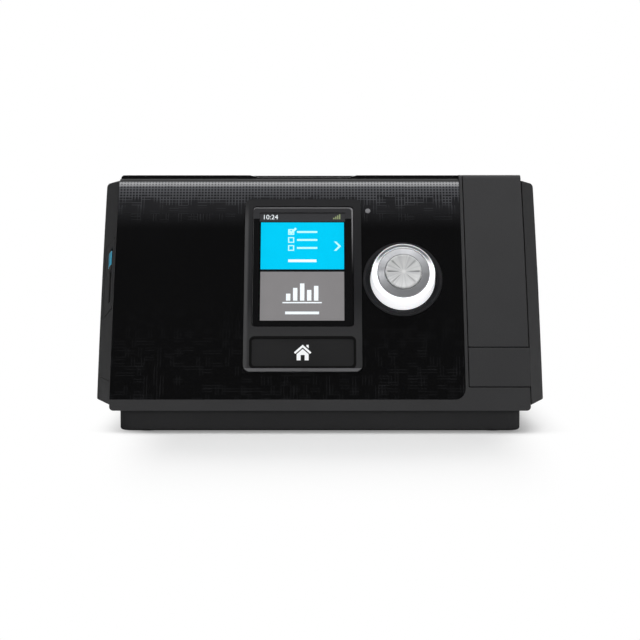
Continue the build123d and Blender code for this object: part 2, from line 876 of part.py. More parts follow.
def front_panel():
    """Glossy curved panel: rolls over at its top, cut for the screen, the dial and the sensor."""
    left = -core_half + fit_gap
    outer = slab(left, panel_right, 0, chin_top, panel_top, panel_back - fit_gap, panel_roll)
    inner = slab(
        left - over, panel_right + over, skin, chin_top - over, panel_top - skin, panel_back + over,
        panel_roll - skin)
    panel = outer - inner
    panel -= corner_cut(front_plane(panel_right, chin_top), panel_corner)
    panel -= tile(
        screen_x, bezel_z, bezel_width + 2 * fit_gap, bezel_height + 2 * fit_gap, bezel_corner + fit_gap,
        backing, -backing)
    panel -= disc(dial_plane, 0, 0, -2 * skin, skin, well_radius + fit_gap)
    return panel - disc(sensor_plane, 0, 0, -2 * skin, skin, sensor_radius + pin_play)


def corner_cut(plane, radius):
    """Rounds off the lower right corner of the front panel."""
    square = plane * block(-radius, over, -over, radius, -2 * skin, 2 * skin)
    return square - disc(plane, -radius, radius, -3 * skin, 3 * skin, radius)


def screen_bezel():
    frame = tile(screen_x, bezel_z, bezel_width, bezel_height, bezel_corner, bezel_proud, -backing)
    reach = backing + over
    frame -= tile(
        screen_x, window_z, window_width + 2 * fit_gap, window_height + 2 * fit_gap,
        window_corner + fit_gap, reach, -reach)
    return frame - prism(
        home_plane, home_width + 2 * key_gap, home_height + 2 * key_gap, window_corner + key_gap,
        -reach, reach)


def display_window():
    return tile(
        screen_x, window_z, window_width, window_height, window_corner, bezel_proud - window_recess,
        -backing)


def top_cover():
    """Flat cover with a lip over the front panel, ramped down beside the start button."""
    left = -core_half + fit_gap
    low = overall_height - skin
    cover = block(left, panel_right, panel_back, cover_back, low, overall_height)
    left_edge = cover.edges().filter_by(Axis.Y).group_by(Axis.Z)[-1].sort_by(Axis.X)[0]
    cover = fillet(left_edge, cover_round)
    notch_top = overall_height - start_low
    front, back = panel_back - over, panel_back + start_depth + 2 * key_gap
    a = (start_left - key_gap - ramp, front, overall_height)
    b = (start_left - key_gap, front, notch_top)
    c = (start_right + key_gap, front, notch_top)
    d = (start_right + key_gap + ramp, front, overall_height)
    cover -= extrude(make_face(Polyline(a, b, c, d, close=True)), amount=back - front, dir=(0, 1, 0))
    return cover - block(
        start_left - key_gap, start_right + key_gap, front, back, low - over, overall_height + over)


def rubber_feet():
    return [post(x, y, 0, foot_proud + foot_seat, foot_radius - press) for x, y in foot_places]


def housing_screws():
    screws = []
    for x, y in screw_places:
        under = foot_proud + screw_head_height
        head = post(x, y, foot_proud + head_recess, under, screw_head)
        screws.append(head + post(x, y, under, seam_height + screw_bite, shank_radius))
    return screws


# ---------------------------------------------------------------- screen and buttons
def display_circuit_board():
    board = board_plane * block(
        board_left, board_right, board_low, board_high, -board_depth - board_thickness, -board_depth)
    board += board_plane * block(
        screen_x - board_tab_width / 2, screen_x + board_tab_width / 2, board_tab_low, board_low,
        -board_depth - board_thickness, -board_depth)
    for x, y in board_post_places:
        board -= disc(
            board_plane, x, y, -board_depth - board_thickness - over, over - board_depth, screw_radius)
    return board + local_block(
        sensor_x, along_slope(sensor_z), sensor_size, sensor_size, -board_depth,
        -backing - wall - sensor_gap)


def board_posts():
    """Posts from the case's front wall that the display board is screwed to."""
    posts = Part()
    for x, y in board_post_places:
        posts += disc(board_plane, x, y, -board_depth, -backing - wall / 2, boss_radius)
    return posts


def board_screws():
    screws = []
    under = -board_depth - board_thickness
    for x, y in board_post_places:
        head = disc(board_plane, x, y, under - screw_head_height, under, screw_head)
        screws.append(head + disc(board_plane, x, y, under, under + board_bite, shank_radius))
    return screws + start_screws()


def lcd_module():
    """Display glass in its tray, from behind the window back to the circuit board."""
    y = along_slope(window_z)
    front = -backing - window_drop
    glass = local_block(screen_x, y, lcd_width - lcd_room, lcd_height - lcd_room, front - glass_wall, front)
    return glass + local_block(screen_x, y, lcd_width, lcd_height, -board_depth, front - glass_wall)


def push_switch(plane, x, y, foot):
    """Switch on a circuit board: square can and round actuator."""
    half = switch_size / 2
    can = plane * block(x - half, x + half, y - half, y + half, foot, foot + switch_height)
    return can + disc(plane, x, y, foot + switch_height, foot + switch_height + switch_knob, stem_radius)


def push_switches():
    """Under the home button and under the start button."""
    start_place = Plane((screen_x, start_y(), start_board_top()))
    return [
        push_switch(board_plane, screen_x, along_slope(home_z), -board_depth),
        push_switch(start_place, 0, 0, 0)]


def home_button():
    """Cap in the lower window of the bezel, with a stem towards its switch."""
    cap = prism(home_plane, home_width, home_height, window_corner, home_proud - home_plate, home_proud)
    switch_top = Vector(0, along_slope(home_z), switch_height + switch_knob - board_depth)
    stem_end = home_plane.to_local_coords(board_plane.from_local_coords(switch_top)).Z
    stem_end += button_travel + stem_room
    return cap + disc(home_plane, 0, 0, stem_end, home_proud - home_plate, stem_radius)


def light_sensor_lens():
    return disc(sensor_plane, 0, 0, -backing - wall, lens_proud, sensor_radius - pin_play)


def start_button():
    """Wide key in the lip of the top cover."""
    front = panel_back + key_gap
    top = overall_height - start_low
    cap = block(start_left, start_right, front, front + start_depth, top - start_thickness, top)
    cap = fillet(cap.faces().sort_by(Axis.Z)[-1].edges().filter_by(Axis.X), start_edge)
    low = start_board_top() + switch_height + switch_knob + button_travel + stem_room
    return cap + post(screen_x, start_y(), low, top - start_thickness, stem_radius)


def start_circuit_board():
    top, half = start_board_top(), start_board_depth / 2
    board = block(
        start_left + start_board_margin, start_right - start_board_margin, start_y() - half,
        start_y() + half, top - board_thickness, top)
    for x in start_screw_places:
        board -= post(x, start_y(), top - board_thickness - over, top + over, screw_radius)
    return board


def start_screws():
    under = start_board_top() - board_thickness
    screws = []
    for x in start_screw_places:
        head = post(x, start_y(), under - screw_head_height, under, screw_head)
        screws.append(head + post(x, start_y(), under, start_well_floor() - wall - fit_gap, shank_radius))
    return screws


# ---------------------------------------------------------------- dial
def turned(plane, outline):
    """Solid of revolution about a plane's normal, from an outline of (radius, height) points."""
    face = make_face(Polyline([(r, 0, h) for r, h in outline], close=True))
    return plane * revolve(face, Axis.Z)


def dial_well():
    """Dish that the dial stands in: a flange level with the panel and a floor round the bushing."""
    rim = well_seat - well_wall
    return turned(dial_plane, [
        (bushing_radius + key_gap, -well_floor - well_wall), (well_seat, -well_floor - well_wall),
        (well_seat, -backing), (well_radius, -backing), (well_radius, 0), (well_radius - well_chamfer, 0),
        (rim, -backing), (rim, -well_floor), (bushing_radius + key_gap, -well_floor)])


def dial_encoder():
    """Rotary and push encoder on the circuit board, with the bushing that guides the plunger."""
    half = encoder_size / 2
    y = along_slope(dial_z)
    body = board_plane * block(
        dial_x - half, dial_x + half, y - half, y + half, -board_depth, -well_floor - well_wall - fit_gap)
    body += disc(dial_plane, 0, 0, -board_depth + board_thickness, bushing_top, bushing_radius)
    return body - disc(dial_plane, 0, 0, plunger_low - button_travel - shaft_gap, 0, dial_shaft + pin_play)


def dial_plunger():
    """Shaft that the dial turns on and that it presses, with a collar under the hub."""
    collar = disc(dial_plane, 0, 0, hub_low - fit_gap - collar_height, hub_low - fit_gap, collar_radius)
    return collar + disc(dial_plane, 0, 0, plunger_low, dial_top - hub_blind - shaft_gap, dial_shaft)


def dial_skirt():
    """Translucent cup with a hub, open below."""
    bore = dial_shaft + pin_play
    inner = skirt_radius - skirt_wall
    under = cap_bed - skirt_roof
    edge = skirt_radius - skirt_draft
    return turned(dial_plane, [
        (bore, hub_low), (dial_hub, hub_low), (dial_hub, under), (inner - skirt_draft, under),
        (inner, skirt_low), (skirt_radius, skirt_low), (edge, cap_bed), (edge - skirt_chamfer, dial_top),
        (ring_radius + skirt_land, dial_top), (ring_radius, cap_bed), (0, cap_bed),
        (0, dial_top - hub_blind), (bore, dial_top - hub_blind)])


def dial_ring():
    """Dark ring round the dial's cap, with sloping sides."""
    high = dial_top + ring_height
    bore = dial_cap_radius + cap_play
    return turned(dial_plane, [
        (bore, cap_bed), (ring_radius, cap_bed), (ring_radius, dial_top), (ring_radius - ring_slope, high),
        (bore + ring_rim, high), (bore, high - ring_rim_drop)])


def dial_cap():
    """Spun metal disc with a turned edge and a shallow dish."""
    high = dial_top + dial_cap_height
    return turned(dial_plane, [
        (0, cap_bed), (dial_cap_radius, cap_bed), (dial_cap_radius, high - dial_cap_edge),
        (dial_cap_radius - dial_cap_edge, high), (dial_cap_radius - dial_cap_rim, high),
        (0, high - dial_cap_dish)])


# ---------------------------------------------------------------- memory card
def memory_card():
    half = card_height / 2
    thick = card_thickness / 2
    start, end = card_start(), card_start() + card_length
    card = board_plane * block(
        start, end, card_y - half, card_y + half, -card_depth - thick, -card_depth + thick)
    corner = board_plane * Pos(end, card_y - half, -card_depth)
    side = math.sqrt(2) * card_corner
    return card - corner * Rot(0, 0, 45) * Box(side, side, card_thickness + over)


def card_socket():
    """Metal shell round the card, on the circuit board, open to the left."""
    start = wall + socket_gap - core_half
    end = card_start() + card_length + card_push + fit_gap
    half = card_height / 2 + key_gap + socket_wall
    top = socket_lid + key_gap + card_thickness / 2 - card_depth
    shell = board_plane * block(start, end + socket_back, card_y - half, card_y + half, -board_depth, top)
    return shell - card_room(start - over, end)


def card_door():
    """Flap over the card, with a slit that shows the card's edge and a finger grip below it."""
    door = flap(door_plane, door_width, door_height, door_thickness)
    y = (card_z - dial_z) / door_plane.y_dir.Z
    x = card_slit_place()
    half, slit_low = door_thickness / 2, y - door_slit_height / 2
    door -= door_plane * block(
        x - door_slit / 2, x + door_slit / 2, slit_low, slit_low + door_slit_height, -half - over,
        half + over)
    high = slit_low - grip_drop
    left, right = x - grip_width / 2, x + grip_width / 2
    door -= door_plane * block(left, right, high - grip_height, high, half - grip_depth, half + over)
    return door + door_plane * block(
        left, right, high + bridge_gap, slit_low - bridge_gap, 0, half + bridge_proud)


def card_start():
    """X of the card's outer edge, just behind the closed door."""
    back = door_thickness / 2 + card_recess
    corner = board_plane.from_local_coords(Vector(0, card_y, card_thickness / 2 - card_depth))
    inwards = door_plane.to_local_coords(corner).Z + back
    return inwards / -door_plane.z_dir.X


def card_slit_place():
    """Where the card's plane comes through the door."""
    middle = board_plane.from_local_coords(Vector(card_start(), card_y, -card_depth))
    return door_plane.to_local_coords(middle).X


# ---------------------------------------------------------------- rear
def filter_cover():
    """Flap with slots over the air filter."""
    cover = flap(filter_plane, filter_width, filter_height, flap_thickness)
    for k in range(louvre_count):
        low = (k - (louvre_count - 1) / 2) * louvre_pitch - louvre_width / 2
        cover -= filter_plane * block(
            louvre_margin, filter_width - louvre_margin, low, low + louvre_width,
            -flap_thickness, flap_thickness)
    return cover


def air_filter():
    margin = filter_lip + fit_gap
    deep = rear_face - filter_depth() + fit_gap
    return block(
        filter_left + margin, filter_left + filter_width - margin, deep, deep + filter_thickness - fit_gap,
        filter_low + margin, filter_low + filter_height - margin)


def port_cover():
    return flap(port_flap_plane, port_flap_height, port_flap_width, flap_thickness)


def data_port():
    """Edge connector pushed through its wall from inside: shell, flange and contact tongue."""
    front, back = data_front(), data_front() + data_depth
    shell = data_block(0, front, back) - data_block(-data_wall, front + data_wall, back + over)
    flange = data_block(data_flange, front - data_flange, front)
    thin = (data_height - data_tongue) / 2
    tongue = data_block(-thin, front, back - data_tongue)
    return shell + flange + tongue


def power_inlet():
    """Socket for the power lead, flush with the rear face."""
    shell = inlet_block(inlet_wall, rear_face - inlet_depth - inlet_wall, rear_face)
    flange = inlet_block(inlet_wall + inlet_flange, rear_face - wall - inlet_seat, rear_face - wall)
    inlet = shell + flange - inlet_block(0, rear_face - inlet_depth, rear_face + over)
    for contact in power_contacts():
        inlet -= contact
    return inlet


def power_contacts():
    contacts = []
    for x in (inlet_x - contact_pitch, inlet_x, inlet_x + contact_pitch):
        start = (x, rear_face - inlet_depth - inlet_wall - contact_tail, inlet_z)
        contacts.append(rod(start, (0, 1, 0), contact_radius, contact_tail + inlet_wall + contact_length))
    return contacts


def air_outlet():
    """Cone end that the breathing tube pushes onto, with a flange inside the rear wall."""
    centre = (outlet_x(), rear_face - wall - outlet_seat, port_height)
    length = outlet_seat + wall + outlet_length
    tube = rod(centre, (0, 1, 0), outlet_flange, outlet_seat)
    tube += rod(centre, (0, 1, 0), outlet_radius + outlet_collar, outlet_seat + wall)
    tube += rod(centre, (0, 1, 0), outlet_radius, length)
    tube -= rod(centre, (0, 1, 0), outlet_bore, length + over)
    tip = tube.faces().sort_by(Axis.Y)[-1].edges().sort_by(SortBy.RADIUS)[-1]
    return chamfer(tip, outlet_chamfer)


def return_duct():
    """Elbow from the tub's outlet to the air outlet."""
    start = bay_inner - wall
    end = rear_face - wall - outlet_seat
    turn_y = return_port_y + outlet_bend
    path = Wire([
        CenterArc((start, turn_y, port_height), outlet_bend, 180, 90).edge(),
        Line((outlet_x(), turn_y, port_height), (outlet_x(), end, port_height)).edge()])
    section = Plane(origin=(start, return_port_y, port_height), z_dir=(-1, 0, 0))
    outer = sweep(section * Circle(port_radius + duct_wall), path=path)
    return outer - sweep(section * Circle(port_radius), path=path)


def hinge_pins():
    pins = [flap_pin(door_plane, door_height)]
    for plane, width, height in rear_flaps.values():
        pins.append(flap_pin(plane, height))
    return pins


# ---------------------------------------------------------------- water tub
def tub_chambers(inset, low, high):
    """Inner part in the bay and outer part behind the column's front, as one L-shaped block."""
    left = bay_inner + slide_gap + inset
    inner = block(
        left, tub_left + lid_cheek + slide_gap + 2 * tub_wall, bay_front + slide_gap + inset,
        tub_back - inset, low, high)
    outer = slab(
        tub_left + lid_cheek + slide_gap + inset, tub_side - lid_cheek - 2 * slide_gap - inset,
        skin + 2 * slide_gap + inset, low, high, tub_back - inset)
    return inner + outer


def tub_base():
    base = tub_chambers(0, tub_bottom, tub_rim)
    base += slab(tub_left, tub_side, skin, tub_bottom, name_plate_top - slide_gap, tub_back)
    base -= tub_chambers(tub_wall, tub_bottom + tub_wall, tub_rim + over)
    base -= heater_block(tub_bottom - over, tub_bottom + tub_wall + over, heater_play)
    for port in (supply_port, return_port):
        base -= port(bay_inner, bay_inner + slide_gap + tub_wall + over, port_radius)
    return base


def tub_heat_plate():
    """Metal plate let into the tub's floor over the heater, with a flange that it hangs by."""
    high = tub_bottom + tub_wall
    plate = heater_block(tub_bottom, high, heater_play - press)
    return plate + heater_block(high, high + plate_lip, heater_play + plate_flange)


def tub_roof():
    """Fixed roof let into the inner part, with a baffle between its two air ports."""
    left, right = bay_inner + slide_gap + tub_wall, tub_left + tub_wall
    front, back = bay_front + slide_gap + tub_wall, tub_back - tub_wall
    roof = block(left, right, front, back, tub_rim - skin, tub_rim)
    middle = (supply_port_y + return_port_y) / 2
    half = tub_wall / 2
    return roof + block(
        left, right - baffle_gap, middle - half, middle + half, port_height - baffle_drop,
        tub_rim - skin / 2)


def tub_seal():
    """Rubber ring on the rim of the outer part and the edge of the roof, under the lid's ceiling."""
    ring = tub_chambers(0, tub_rim, seal_top) & block(
        tub_left, half_width, front_foot, rear_face, 0, seal_top)
    within = tub_chambers(tub_wall, tub_rim, seal_top)
    return ring - (within & block(tub_left + tub_wall, half_width, front_foot, rear_face, 0, seal_top))


def lid_hollow():
    return slab(
        tub_left + lid_cheek, tub_side - lid_cheek - slide_gap, skin, 0, overall_height - skin,
        rear_face - lid_wall, column_round - skin / 2, rear_round - lid_wall)


def tub_lid():
    """Hood over the outer part: it is the column's front and top, hinged along its rear edge."""
    right = tub_side - slide_gap
    lid = slab(tub_left, right, 0, name_plate_top, overall_height, rear_face, column_round, rear_round)
    lid -= lid_hollow()
    lid -= block(
        tub_left - over, right + over, tub_back - slide_gap, rear_face + over, 0, lid_hinge_height)
    low = seal_top + fit_gap
    lid += slab(
        tub_left + lid_cheek / 2, right - lid_cheek / 2, skin / 2, low, low + ledge_wall,
        tub_back - slide_gap)
    lid -= block(
        tub_left - over, tub_left + lid_cheek + slide_gap, bay_front - slide_gap, rear_face, 0, low)
    start, end = tub_left + ear_width + slide_gap, right - ear_width - slide_gap
    lid += block(
        start, end, rear_face - lid_wall, rear_face, lid_hinge_height, lid_hinge_height + hinge_block)
    for x0, x1 in ((tub_left - over, start), (end, right + over)):
        lid -= block(
            x0, x1, rear_face - lid_wall - slide_gap, rear_face + over, 0,
            lid_hinge_height + lid_wall / 2 + slide_gap)
    barrel = hinge_rod(start, end, lid_wall / 2)
    return lid + barrel - hinge_rod(tub_left, tub_side, pin_radius + pin_play)


def hinge_rod(x0, x1, radius):
    """Cylinder on the axis that the lid swings about."""
    return rod((x0, hinge_y, lid_hinge_height), (1, 0, 0), radius, x1 - x0)


def tub_rear_cover():
    """Closes the column behind the tub; its two ears hold the lid's pin."""
    high = lid_hinge_height - lid_wall / 2 - slide_gap
    cover = block(tub_left, tub_side, tub_back, rear_face, tub_bottom, high)
    cover -= block(
        tub_left + wall, tub_side - wall, tub_back - over, rear_face - wall, tub_bottom + wall, high - wall)
    right = tub_side - slide_gap
    for x0, x1 in ((tub_left, tub_left + ear_width), (right - ear_width, right)):
        cover += block(x0, x1, rear_face - lid_wall, rear_face, high - wall / 2, lid_hinge_height)
        cover += hinge_rod(x0, x1, lid_wall / 2)
    return cover - hinge_rod(tub_left - over, right - fit_gap, pin_radius + pin_play / 2)


def lid_pin():
    return hinge_rod(tub_left + fit_gap, tub_side - slide_gap - 2 * fit_gap, pin_radius)


def tub_front_plate():
    """Lower part of the column's front."""
    return band(tub_left, tub_side, tub_bottom, name_plate_top - slide_gap, 0, -skin)


def tub_end_cover():
    """Hollow flared end of the tub, with an opening for its window."""
    cover = rounded_cap(1) - end_cap(1, cap_bottom, skin)
    return cover - window_block(fit_gap)


def window_block(grow):
    """Rounded opening in the outer face, at the height of the water."""
    start = half_width - cap_width / 2
    plane = Plane(origin=(start, tub_window_y, tub_window_z), x_dir=(0, 1, 0), z_dir=(1, 0, 0))
    width, height = tub_window_width + 2 * grow, tub_window_height + 2 * grow
    return prism(plane, width, height, tub_window_corner + grow, 0, cap_width)


def tub_window():
    """Clear window, let into the end cover and held by a flange behind it."""
    inside = end_cap(1, cap_bottom, skin)
    pane = window_block(0) & end_cap(1, cap_bottom)
    flange = window_block(tub_window_flange) & inside
    return pane - inside + (flange - end_cap(1, cap_bottom, skin + window_wall))


def port_seals():
    """Rubber rings in the partition, round the two air ports."""
    rings = []
    for port in (supply_port, return_port):
        ring = port(bay_inner - wall, bay_inner + fit_gap, port_radius + port_seal_wall - press)
        rings.append(ring - port(bay_inner - wall - over, bay_inner + over, port_radius))
    return rings


def heater_plate():
    return heater_block(tub_floor - heater_thickness, tub_floor, -press)


# ---------------------------------------------------------------- blower
def scroll(grow, z0, z1, channel_end):
    """Scroll of four quarter arcs, each larger than the last by a step, and its outlet channel."""
    step = scroll_step
    radius = scroll_radius + grow
    x, y = blower_x + step / 2, blower_y + step / 2
    start = (x, y - radius)
    edges = []
    for quarter, (dx, dy) in enumerate(((0, 0), (-step, 0), (0, -step), (step, 0))):
        x, y = x + dx, y + dy
        edges.append(CenterArc((x, y), radius + quarter * step, 90 * quarter - 90, 90))
    end = (x, y - radius - 3 * step)
    edges.append(Line(end, start))
    body = Pos(0, 0, z0) * extrude(make_face(edges), z1 - z0)
    half = scroll_channel / 2 + grow
    return body + block(
        blower_x + step / 2, channel_end, supply_port_y - half, supply_port_y + half, z0, z1)


def blower_case():
    end = duct_start()
    case = scroll(scroll_wall, scroll_low - scroll_wall, scroll_high + scroll_wall, end)
    case -= scroll(0, scroll_low, scroll_high, end + over)
    case -= blower_post(scroll_high - over, scroll_high + scroll_wall + over, intake_radius)
    return case - blower_post(scroll_low - scroll_wall - over, scroll_low + over, bearing_radius + over)


def duct_start():
    """X of the mouth of the scroll, where the duct to the tub begins."""
    return bay_inner - wall - duct_length


def blower_post(z0, z1, radius):
    return post(blower_x, blower_y, z0, z1, radius)


def split_case():
    """Lower and upper half of the scroll; the lower one carries the motor's bridge."""
    case = blower_case()
    upper = case & block(
        -half_width, half_width, front_foot, rear_face, port_height + fit_gap, overall_height)
    lower = case & block(-half_width, half_width, front_foot, rear_face, 0, port_height)
    return lower + motor_bridge(), upper


def impeller():
    """Hub plate with curved blades and a shroud ring."""
    low = scroll_low + wheel_gap
    deck = low + wheel_plate - blade_sink
    brim = deck + blade_height - blade_sink
    wheel = blower_post(low, low + wheel_plate, impeller_radius)
    wheel += blower_post(low, low + wheel_hub_height, wheel_hub)
    for k in range(blade_count):
        wheel += Pos(blower_x, blower_y, deck) * Rot(0, 0, 360 * k / blade_count) * impeller_blade()
    wheel += blower_post(brim, brim + wheel_shroud, impeller_radius) - blower_post(
        brim - over, brim + wheel_shroud + over, intake_radius - over)
    return wheel - blower_post(low - over, low + wheel_hub_height + over, shaft_radius)


def impeller_blade():
    """One blade, curved backwards, from the inner to the outer radius."""
    turn = math.radians(blade_sweep)
    outer = impeller_radius - blade_inset
    a = Vector(intake_radius - blade_reach, 0)
    b = Vector(outer * math.cos(turn), outer * math.sin(turn))
    middle = (a + b) * 0.5 + Vector(blade_bow, -blade_bow)
    side = (b - a).normalized().rotate(Axis.Z, 90) * blade_thickness
    edges = [
        ThreePointArc(a, middle, b), Line(b, b + side), ThreePointArc(b + side, middle + side, a + side),
        Line(a + side, a)]
    return extrude(make_face(edges), blade_height)


def motor_shaft():
    return blower_post(motor_low + motor_wall, scroll_low + wheel_gap + wheel_hub_height, shaft_radius)


def motor_span(gap):
    """Heights between the two bearings, less a gap at each."""
    low = motor_low + motor_wall + bearing_height + gap
    return low, scroll_low - scroll_wall - bearing_height - gap


def rotor_magnet():
    low, high = motor_span(rotor_gap)
    return blower_post(low, high, rotor_radius) - blower_post(low - over, high + over, shaft_radius)


def motor_housing():
    """Cup round the stator, with a seat for the lower bearing and ears on the rubber mounts."""
    cup = blower_post(motor_low, scroll_low - scroll_wall, motor_radius)
    for x, y in mount_places:
        cup += post(x, y, motor_low, motor_low + mount_ear_height, mount_radius + mount_ear)
    cup -= blower_post(motor_low + motor_wall, scroll_low, motor_radius - motor_wall)
    for x, y in mount_places:
        cup -= post(x, y, motor_low - over, motor_low + mount_ear_height + over, screw_radius)
    seat_low, seat_high = motor_low + motor_wall, motor_low + motor_wall + bearing_height
    seat = blower_post(seat_low, seat_high, bearing_radius + bearing_seat)
    return cup + (seat - blower_post(seat_low, seat_high, bearing_radius))


def motor_stator():
    """Laminated ring with teeth round the rotor."""
    low, high = motor_span(stator_gap)
    outer = motor_radius - motor_wall
    inner = rotor_radius + tooth_gap
    half, tip = tooth_width / 2, tooth_tip_width / 2
    ring = blower_post(low, high, outer)
    ring -= blower_post(low - over, high + over, outer - stator_ring)
    for k in range(tooth_count):
        tooth = block(inner, outer - over, -half, half, low, high)
        tooth += block(inner, inner + tooth_tip, -tip, tip, low, high)
        ring += Pos(blower_x, blower_y, 0) * Rot(0, 0, 360 * k / tooth_count) * tooth
    return ring - blower_post(low - over, high + over, inner)


def motor_bearings():
    rings = []
    for low in (motor_low + motor_wall, scroll_low - scroll_wall - bearing_height):
        ring = blower_post(low, low + bearing_height, bearing_radius)
        rings.append(ring - blower_post(low - over, low + bearing_height + over, shaft_radius + pin_play))
    return rings


def motor_bridge():
    """Plate across the top of the motor that holds the upper bearing under the scroll."""
    high = scroll_low - scroll_wall
    low = high - bearing_height
    outer = motor_radius - motor_wall
    plate = blower_post(low, high, outer) - blower_post(low - over, high + over, bearing_radius)
    groove = blower_post(low - over, high - bridge_plate, outer - bridge_rim)
    return plate - (groove - blower_post(low - over, high, bearing_radius + bridge_hub))


def blower_mounts():
    """Rubber posts between the case's posts and the motor's ears."""
    return [post(x, y, mount_post_top, motor_low, mount_radius) for x, y in mount_places]


def supply_duct():
    """Rubber sleeve from the scroll to the port in the partition, round outside and in."""
    start = duct_start()
    half = scroll_channel / 2 + scroll_wall
    high = scroll_height / 2 + scroll_wall
    sleeve = duct_block(start - duct_lap, start + duct_end, half + duct_skin, high + duct_skin)
    sleeve -= duct_block(start - duct_lap - over, start, half, high)
    sleeve += supply_port(start + duct_end - over, bay_inner - wall, port_radius + duct_wall)
    return sleeve - supply_port(start - over, bay_inner, port_radius)


def duct_block(x0, x1, half, high):
    """Rectangular stretch of the supply duct."""
    return block(
        x0, x1, supply_port_y - half, supply_port_y + half, port_height - high, port_height + high)


def flow_sensor():
    """Small sensor block on the supply duct."""
    x = bay_inner - wall - sensor_block_inset
    half, deep = sensor_block / 2, sensor_block_depth / 2
    low = port_height + port_radius + duct_wall - sensor_sink
    body = block(
        x - half, x + half, supply_port_y - deep, supply_port_y + deep, low, low + sensor_block_height)
    return body - supply_port(x - half - over, x + half + over, port_radius + duct_wall)


def inlet_muffler():
    """Foam between the blower and the ceiling, with a passage to the intake."""
    low = scroll_high + scroll_wall
    half, deep = muffler_width / 2, muffler_depth / 2
    foam = block(
        blower_x - half, blower_x + half, blower_y - deep, blower_y + deep, low, ceiling - fit_gap)
    foam -= blower_post(low - over, low + muffler_roof, intake_radius)
    return foam - block(
        blower_x - half - over, blower_x, blower_y - muffler_passage / 2, blower_y + muffler_passage / 2,
        low + muffler_floor, low + muffler_roof)


# ---------------------------------------------------------------- main circuit board
main_board_left = wall + main_board_margin - core_half
main_board_right = bay_inner - 2 * wall - main_board_margin
main_board_low = front_foot + main_board_front
main_board_high = rear_face - main_board_rear


def main_circuit_board():
    """Board in the tray with its larger components: capacitors, two chips and the radio module."""
    left, front = main_board_left, main_board_low
    top = main_board_z + board_thickness
    board = block(left, main_board_right, front, main_board_high, main_board_z, top)
    for x, y in mount_places:
        board -= post(x, y, main_board_z - over, top + over, mount_radius + over)
    for k in range(2):
        y = front + support_inset * 2 + k * capacitor_pitch
        board += post(left + 2 * capacitor_radius, y, top, top + capacitor_height, capacitor_radius)
        x = left + support_inset * 4 + k * chip_pitch
        board += block(x, x + chip_size, front + support_inset, front + support_inset + chip_size, top,
                       top + chip_height)
    x = left + support_inset * 4 + 2 * chip_pitch
    return board + block(
        x, x + radio_width, front + support_inset, front + support_inset + radio_depth, top,
        top + radio_height)


def board_supports():
    """Short posts in the plinth under the corners of the main circuit board."""
    supports = Part()
    for x in (main_board_left + support_inset, main_board_right - support_inset):
        for y in (main_board_low + support_inset, main_board_high - support_inset):
            supports += post(x, y, floor_top - wall / 2, main_board_z, support_radius)
    return supports


# ---------------------------------------------------------------- writing the parts
blower_base, blower_cover = split_case()

parts = {
    "lower_housing": lower_housing(),
    "main_housing": main_housing(),
    "left_end_cover": left_end_cover(),
    "front_panel": front_panel(),
    "screen_bezel": screen_bezel(),
    "display_window": display_window(),
    "lcd_module": lcd_module(),
    "display_circuit_board": display_circuit_board(),
    "board_screws": board_screws(),
    "home_button": home_button(),
    "push_switches": push_switches(),
    "light_sensor_lens": light_sensor_lens(),
    "top_cover": top_cover(),
    "start_button": start_button(),
    "start_circuit_board": start_circuit_board(),
    "dial_well": dial_well(),
    "dial_encoder": dial_encoder(),
    "dial_plunger": dial_plunger(),
    "dial_skirt": dial_skirt(),
    "dial_ring": dial_ring(),
    "dial_cap": dial_cap(),
    "card_door": card_door(),
    "memory_card": memory_card(),
    "card_socket": card_socket(),
    "filter_cover": filter_cover(),
    "air_filter": air_filter(),
    "port_cover": port_cover(),
    "data_port": data_port(),
    "power_inlet": power_inlet(),
    "power_contacts": power_contacts(),
    "air_outlet": air_outlet(),
    "return_duct": return_duct(),
    "hinge_pins": hinge_pins(),
    "port_seals": port_seals(),
    "heater_plate": heater_plate(),
    "tub_base": tub_base(),
    "tub_heat_plate": tub_heat_plate(),
    "tub_roof": tub_roof(),
    "tub_seal": tub_seal(),
    "tub_front_plate": tub_front_plate(),
    "tub_rear_cover": tub_rear_cover(),
    "tub_end_cover": tub_end_cover(),
    "tub_window": tub_window(),
    "lid_pin": lid_pin(),
    "tub_lid": tub_lid(),
    "blower_base": blower_base,
    "blower_cover": blower_cover,
    "impeller": impeller(),
    "motor_shaft": motor_shaft(),
    "motor_stator": motor_stator(),
    "motor_bearings": motor_bearings(),
    "rotor_magnet": rotor_magnet(),
    "motor_housing": motor_housing(),
    "blower_mounts": blower_mounts(),
    "supply_duct": supply_duct(),
    "flow_sensor": flow_sensor(),
    "inlet_muffler": inlet_muffler(),
    "main_circuit_board": main_circuit_board(),
    "rubber_feet": rubber_feet(),
    "housing_screws": housing_screws(),
}

for name, shape in parts.items():
    if isinstance(shape, list):
        shape = Compound(children=shape)
    export_step(shape, f"parts/{name}.step")
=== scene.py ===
import math

import bpy
from mathutils import Matrix, Vector


